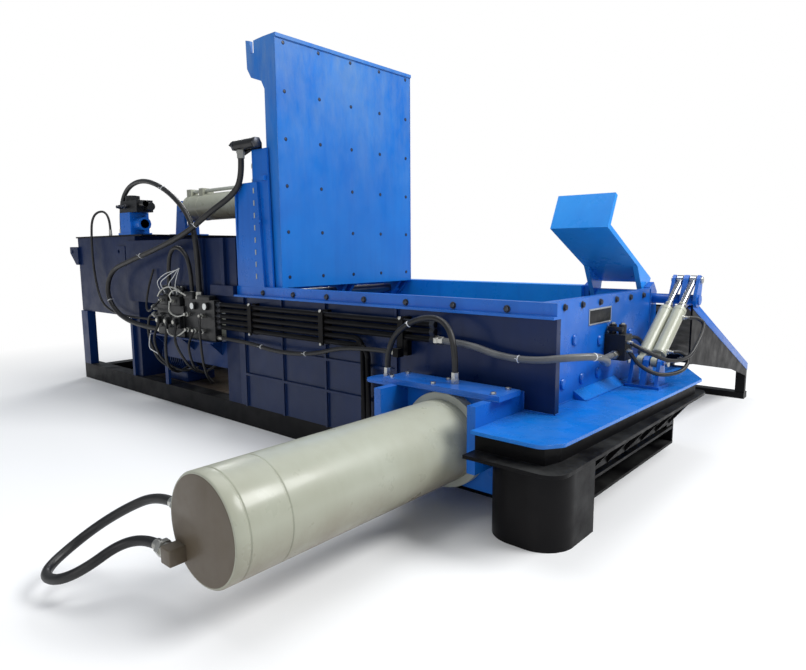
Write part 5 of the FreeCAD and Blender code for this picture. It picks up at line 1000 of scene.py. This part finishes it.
def plates_and_caps():
    """The bare nameplate's dark field and rivets, and the smooth caps of the pump and the tower."""
    field = box((3.1836, -0.317, 1.101), (3.1852, 0.026, 1.190), 0.0006)
    piece("nameplate_field", [field], "coil")
    rivets = [rod((3.184, y, z), (1, 0, 0), 0.004, 0.003, 14)
              for y in (-0.322, 0.031) for z in (1.096, 1.195)]
    piece("nameplate_rivets", rivets, "zinc")
    top = [(0.0765, 0.0), (0.0775, 0.010), (0.0775, 0.020), (0.064, 0.026), (0.064, 0.058), (0.056, 0.0645)]
    caps = [
        lathe(top, (-2.090, -0.830, 2.169), (0, 0, 1), 40),
        rod((-1.812, -0.880, 2.125), (1, 0, 0), 0.0355, 0.112, 32),
        rod((-1.812, -0.800, 2.100), (1, 0, 0), 0.0455, 0.083, 32),
        rod((0.213, -1.000, 2.509), (1, 0, 0), 0.0435, 0.269, 36),
    ]
    piece("smooth_caps", caps, "valve")
    nuts = [hexagon((0.206, -1.000, 2.509), (-1, 0, 0), 0.078, 0.030),
            hexagon((0.484, -1.000, 2.509), (1, 0, 0), 0.078, 0.030)]
    for x in (-2.020, -2.140):
        nuts += union((x, -0.932, 2.105), (0, -1, 0), 0.020)
    piece("cap_nuts", nuts, "bolt")
    nose = [(0.0765, 0.0), (0.0765, 0.070), (0.062, 0.078), (0.062, 0.110), (0.050, 0.122)]
    piece("pump_nose_cover", [lathe(nose, (-1.962, -0.830, 1.913), (1, 0, 0), 40)], "blue")


def motor():
    """The drive motor's finned case, its feet and terminal box, and the gear pump."""
    low, high = 0.183, 0.206  # the radius between the fins and over them
    case = [(0.120, 0.0), (0.172, 0.006), (low, 0.022), (low, 0.060)]
    for number in range(FIN_COUNT):
        fin = FIRST_FIN + FIN_PITCH * number
        case += [(low, fin), (high, fin + 0.002), (high, fin + 0.011), (low, fin + 0.013)]
    case += [(low, 0.560), (0.150, 0.579)]
    gear = [(0.104, 0.0), (0.105, 0.120), (0.092, 0.126), (0.092, 0.170), (0.105, 0.176), (0.105, 0.285),
            (0.080, 0.299)]
    shells = [
        lathe(case, (-1.700, -0.620, 0.450), (1, 0, 0), 56),
        box((-1.640, -0.790, 0.190), (-1.180, -0.450, 0.300), 0.012, 2),
        box((-1.520, -0.720, 0.620), (-1.320, -0.520, 0.724), 0.012, 2),
    ]
    piece("motor_case", shells, "panel", hides="drive_motor")
    piece("gear_pump_case", [lathe(gear, (-1.120, -0.620, 0.450), (1, 0, 0), 40)], "valve")


def cylinder_trim():
    """End rings and the hard line along the lid cylinder."""
    ring = [(0.155, -0.014), (0.1585, -0.010), (0.1585, 0.010), (0.155, 0.014)]
    rings = [lathe(ring, (x, *LID_CYLINDER), (1, 0, 0), 80) for x in (-2.030, -1.820, -0.300)]
    piece("lid_cylinder_rings", rings, "beige", "lid_cylinder")
    line = rod((-2.062, -0.096, 2.315), (1, 0, 0), 0.0205, 1.820)
    piece("lid_cylinder_line", [line], "grey", "lid_cylinder")


def chute_strip():
    """The bright edge along the chute's outer web: a block sheared down the chute's slope."""
    points, faces = box((3.398, CHUTE_START, 1.116), (3.441, 3.098, 1.192), 0.003)
    points[:, 2] -= (points[:, 1] - CHUTE_START) * math.tan(math.radians(CHUTE_SLOPE))
    piece("chute_edge_strip", [(points, faces)], "blue")


chute_strip()
ties()
end_valve()
turnout_trim()
plates_and_caps()
motor()
cylinder_trim()


# ---------------- floor and light
FLOOR_REACH = 60
FADE_START, FADE_END = 3.2, 6.8  # metres from the origin between which the floor turns plain white
LIGHTS = (  # name, place, what it looks at, diameter, watts
    ("key", (9.0, 2.5, 8.5), (0.8, -0.3, 0.9), 5.0, 1020.0),
    ("top", (0.5, -1.0, 9.5), (0.5, -0.8, 0.5), 7.0, 370.0),
    ("fill", (3.0, -10.0, 4.0), (0.5, -0.8, 1.0), 5.0, 130.0),
    ("rim", (-7.0, 5.0, 7.0), (-0.8, 0.0, 1.2), 4.0, 300.0),
)


def studio_floor():
    """A pale floor that keeps the machine's shadow and fades to plain white around it."""
    floor, tree = new_material("studio_floor")
    pale = node(tree, "ShaderNodeBsdfDiffuse", Color=(0.94, 0.945, 0.95, 1.0))
    glow = node(tree, "ShaderNodeEmission", Color=(1.0, 1.0, 1.0, 1.0))
    far_off = node(tree, "ShaderNodeVectorMath", operation="LENGTH")
    tree.links.new(object_coords(tree), far_off.inputs[0])
    fade = node(tree, "ShaderNodeMixShader")
    tree.links.new(spread(tree, far_off.outputs["Value"], FADE_START, FADE_END), fade.inputs[0])
    tree.links.new(pale.outputs[0], fade.inputs[1])
    tree.links.new(glow.outputs[0], fade.inputs[2])
    close(tree, fade)
    mesh = bpy.data.meshes.new("studio_floor")
    r = FLOOR_REACH
    mesh.from_pydata([(-r, -r, 0), (r, -r, 0), (r, r, 0), (-r, r, 0)], [], [(0, 1, 2, 3)])
    mesh.materials.append(floor)
    ground = bpy.data.objects.new("studio_floor", mesh)
    scene.collection.objects.link(ground)


def sky():
    """A weak cool sky that the viewer sees as plain white."""
    world = bpy.data.worlds.new("studio_sky")
    scene.world = world
    world.use_nodes = True
    tree = world.node_tree
    tree.nodes.clear()
    ambient = node(tree, "ShaderNodeBackground", Strength=0.30, Color=(0.86, 0.92, 1.0, 1.0))
    white = node(tree, "ShaderNodeBackground", Strength=1.0, Color=(1.0, 1.0, 1.0, 1.0))
    path = node(tree, "ShaderNodeLightPath")
    mix = node(tree, "ShaderNodeMixShader")
    tree.links.new(path.outputs["Is Camera Ray"], mix.inputs[0])
    tree.links.new(ambient.outputs[0], mix.inputs[1])
    tree.links.new(white.outputs[0], mix.inputs[2])
    output = node(tree, "ShaderNodeOutputWorld")
    tree.links.new(mix.outputs[0], output.inputs["Surface"])


def lights():
    """Four round soft lights: key, top, fill and rim."""
    for name, spot, target, size, power in LIGHTS:
        data = bpy.data.lights.new(name, "AREA")
        data.shape = "DISK"
        data.size = size
        data.energy = power
        lamp = bpy.data.objects.new(name, data)
        lamp.location = spot
        lamp.rotation_mode = "QUATERNION"
        lamp.rotation_quaternion = (Vector(target) - Vector(spot)).to_track_quat("-Z", "Y")
        scene.collection.objects.link(lamp)


studio_floor()
sky()
lights()
scene.view_settings.view_transform = "Standard"
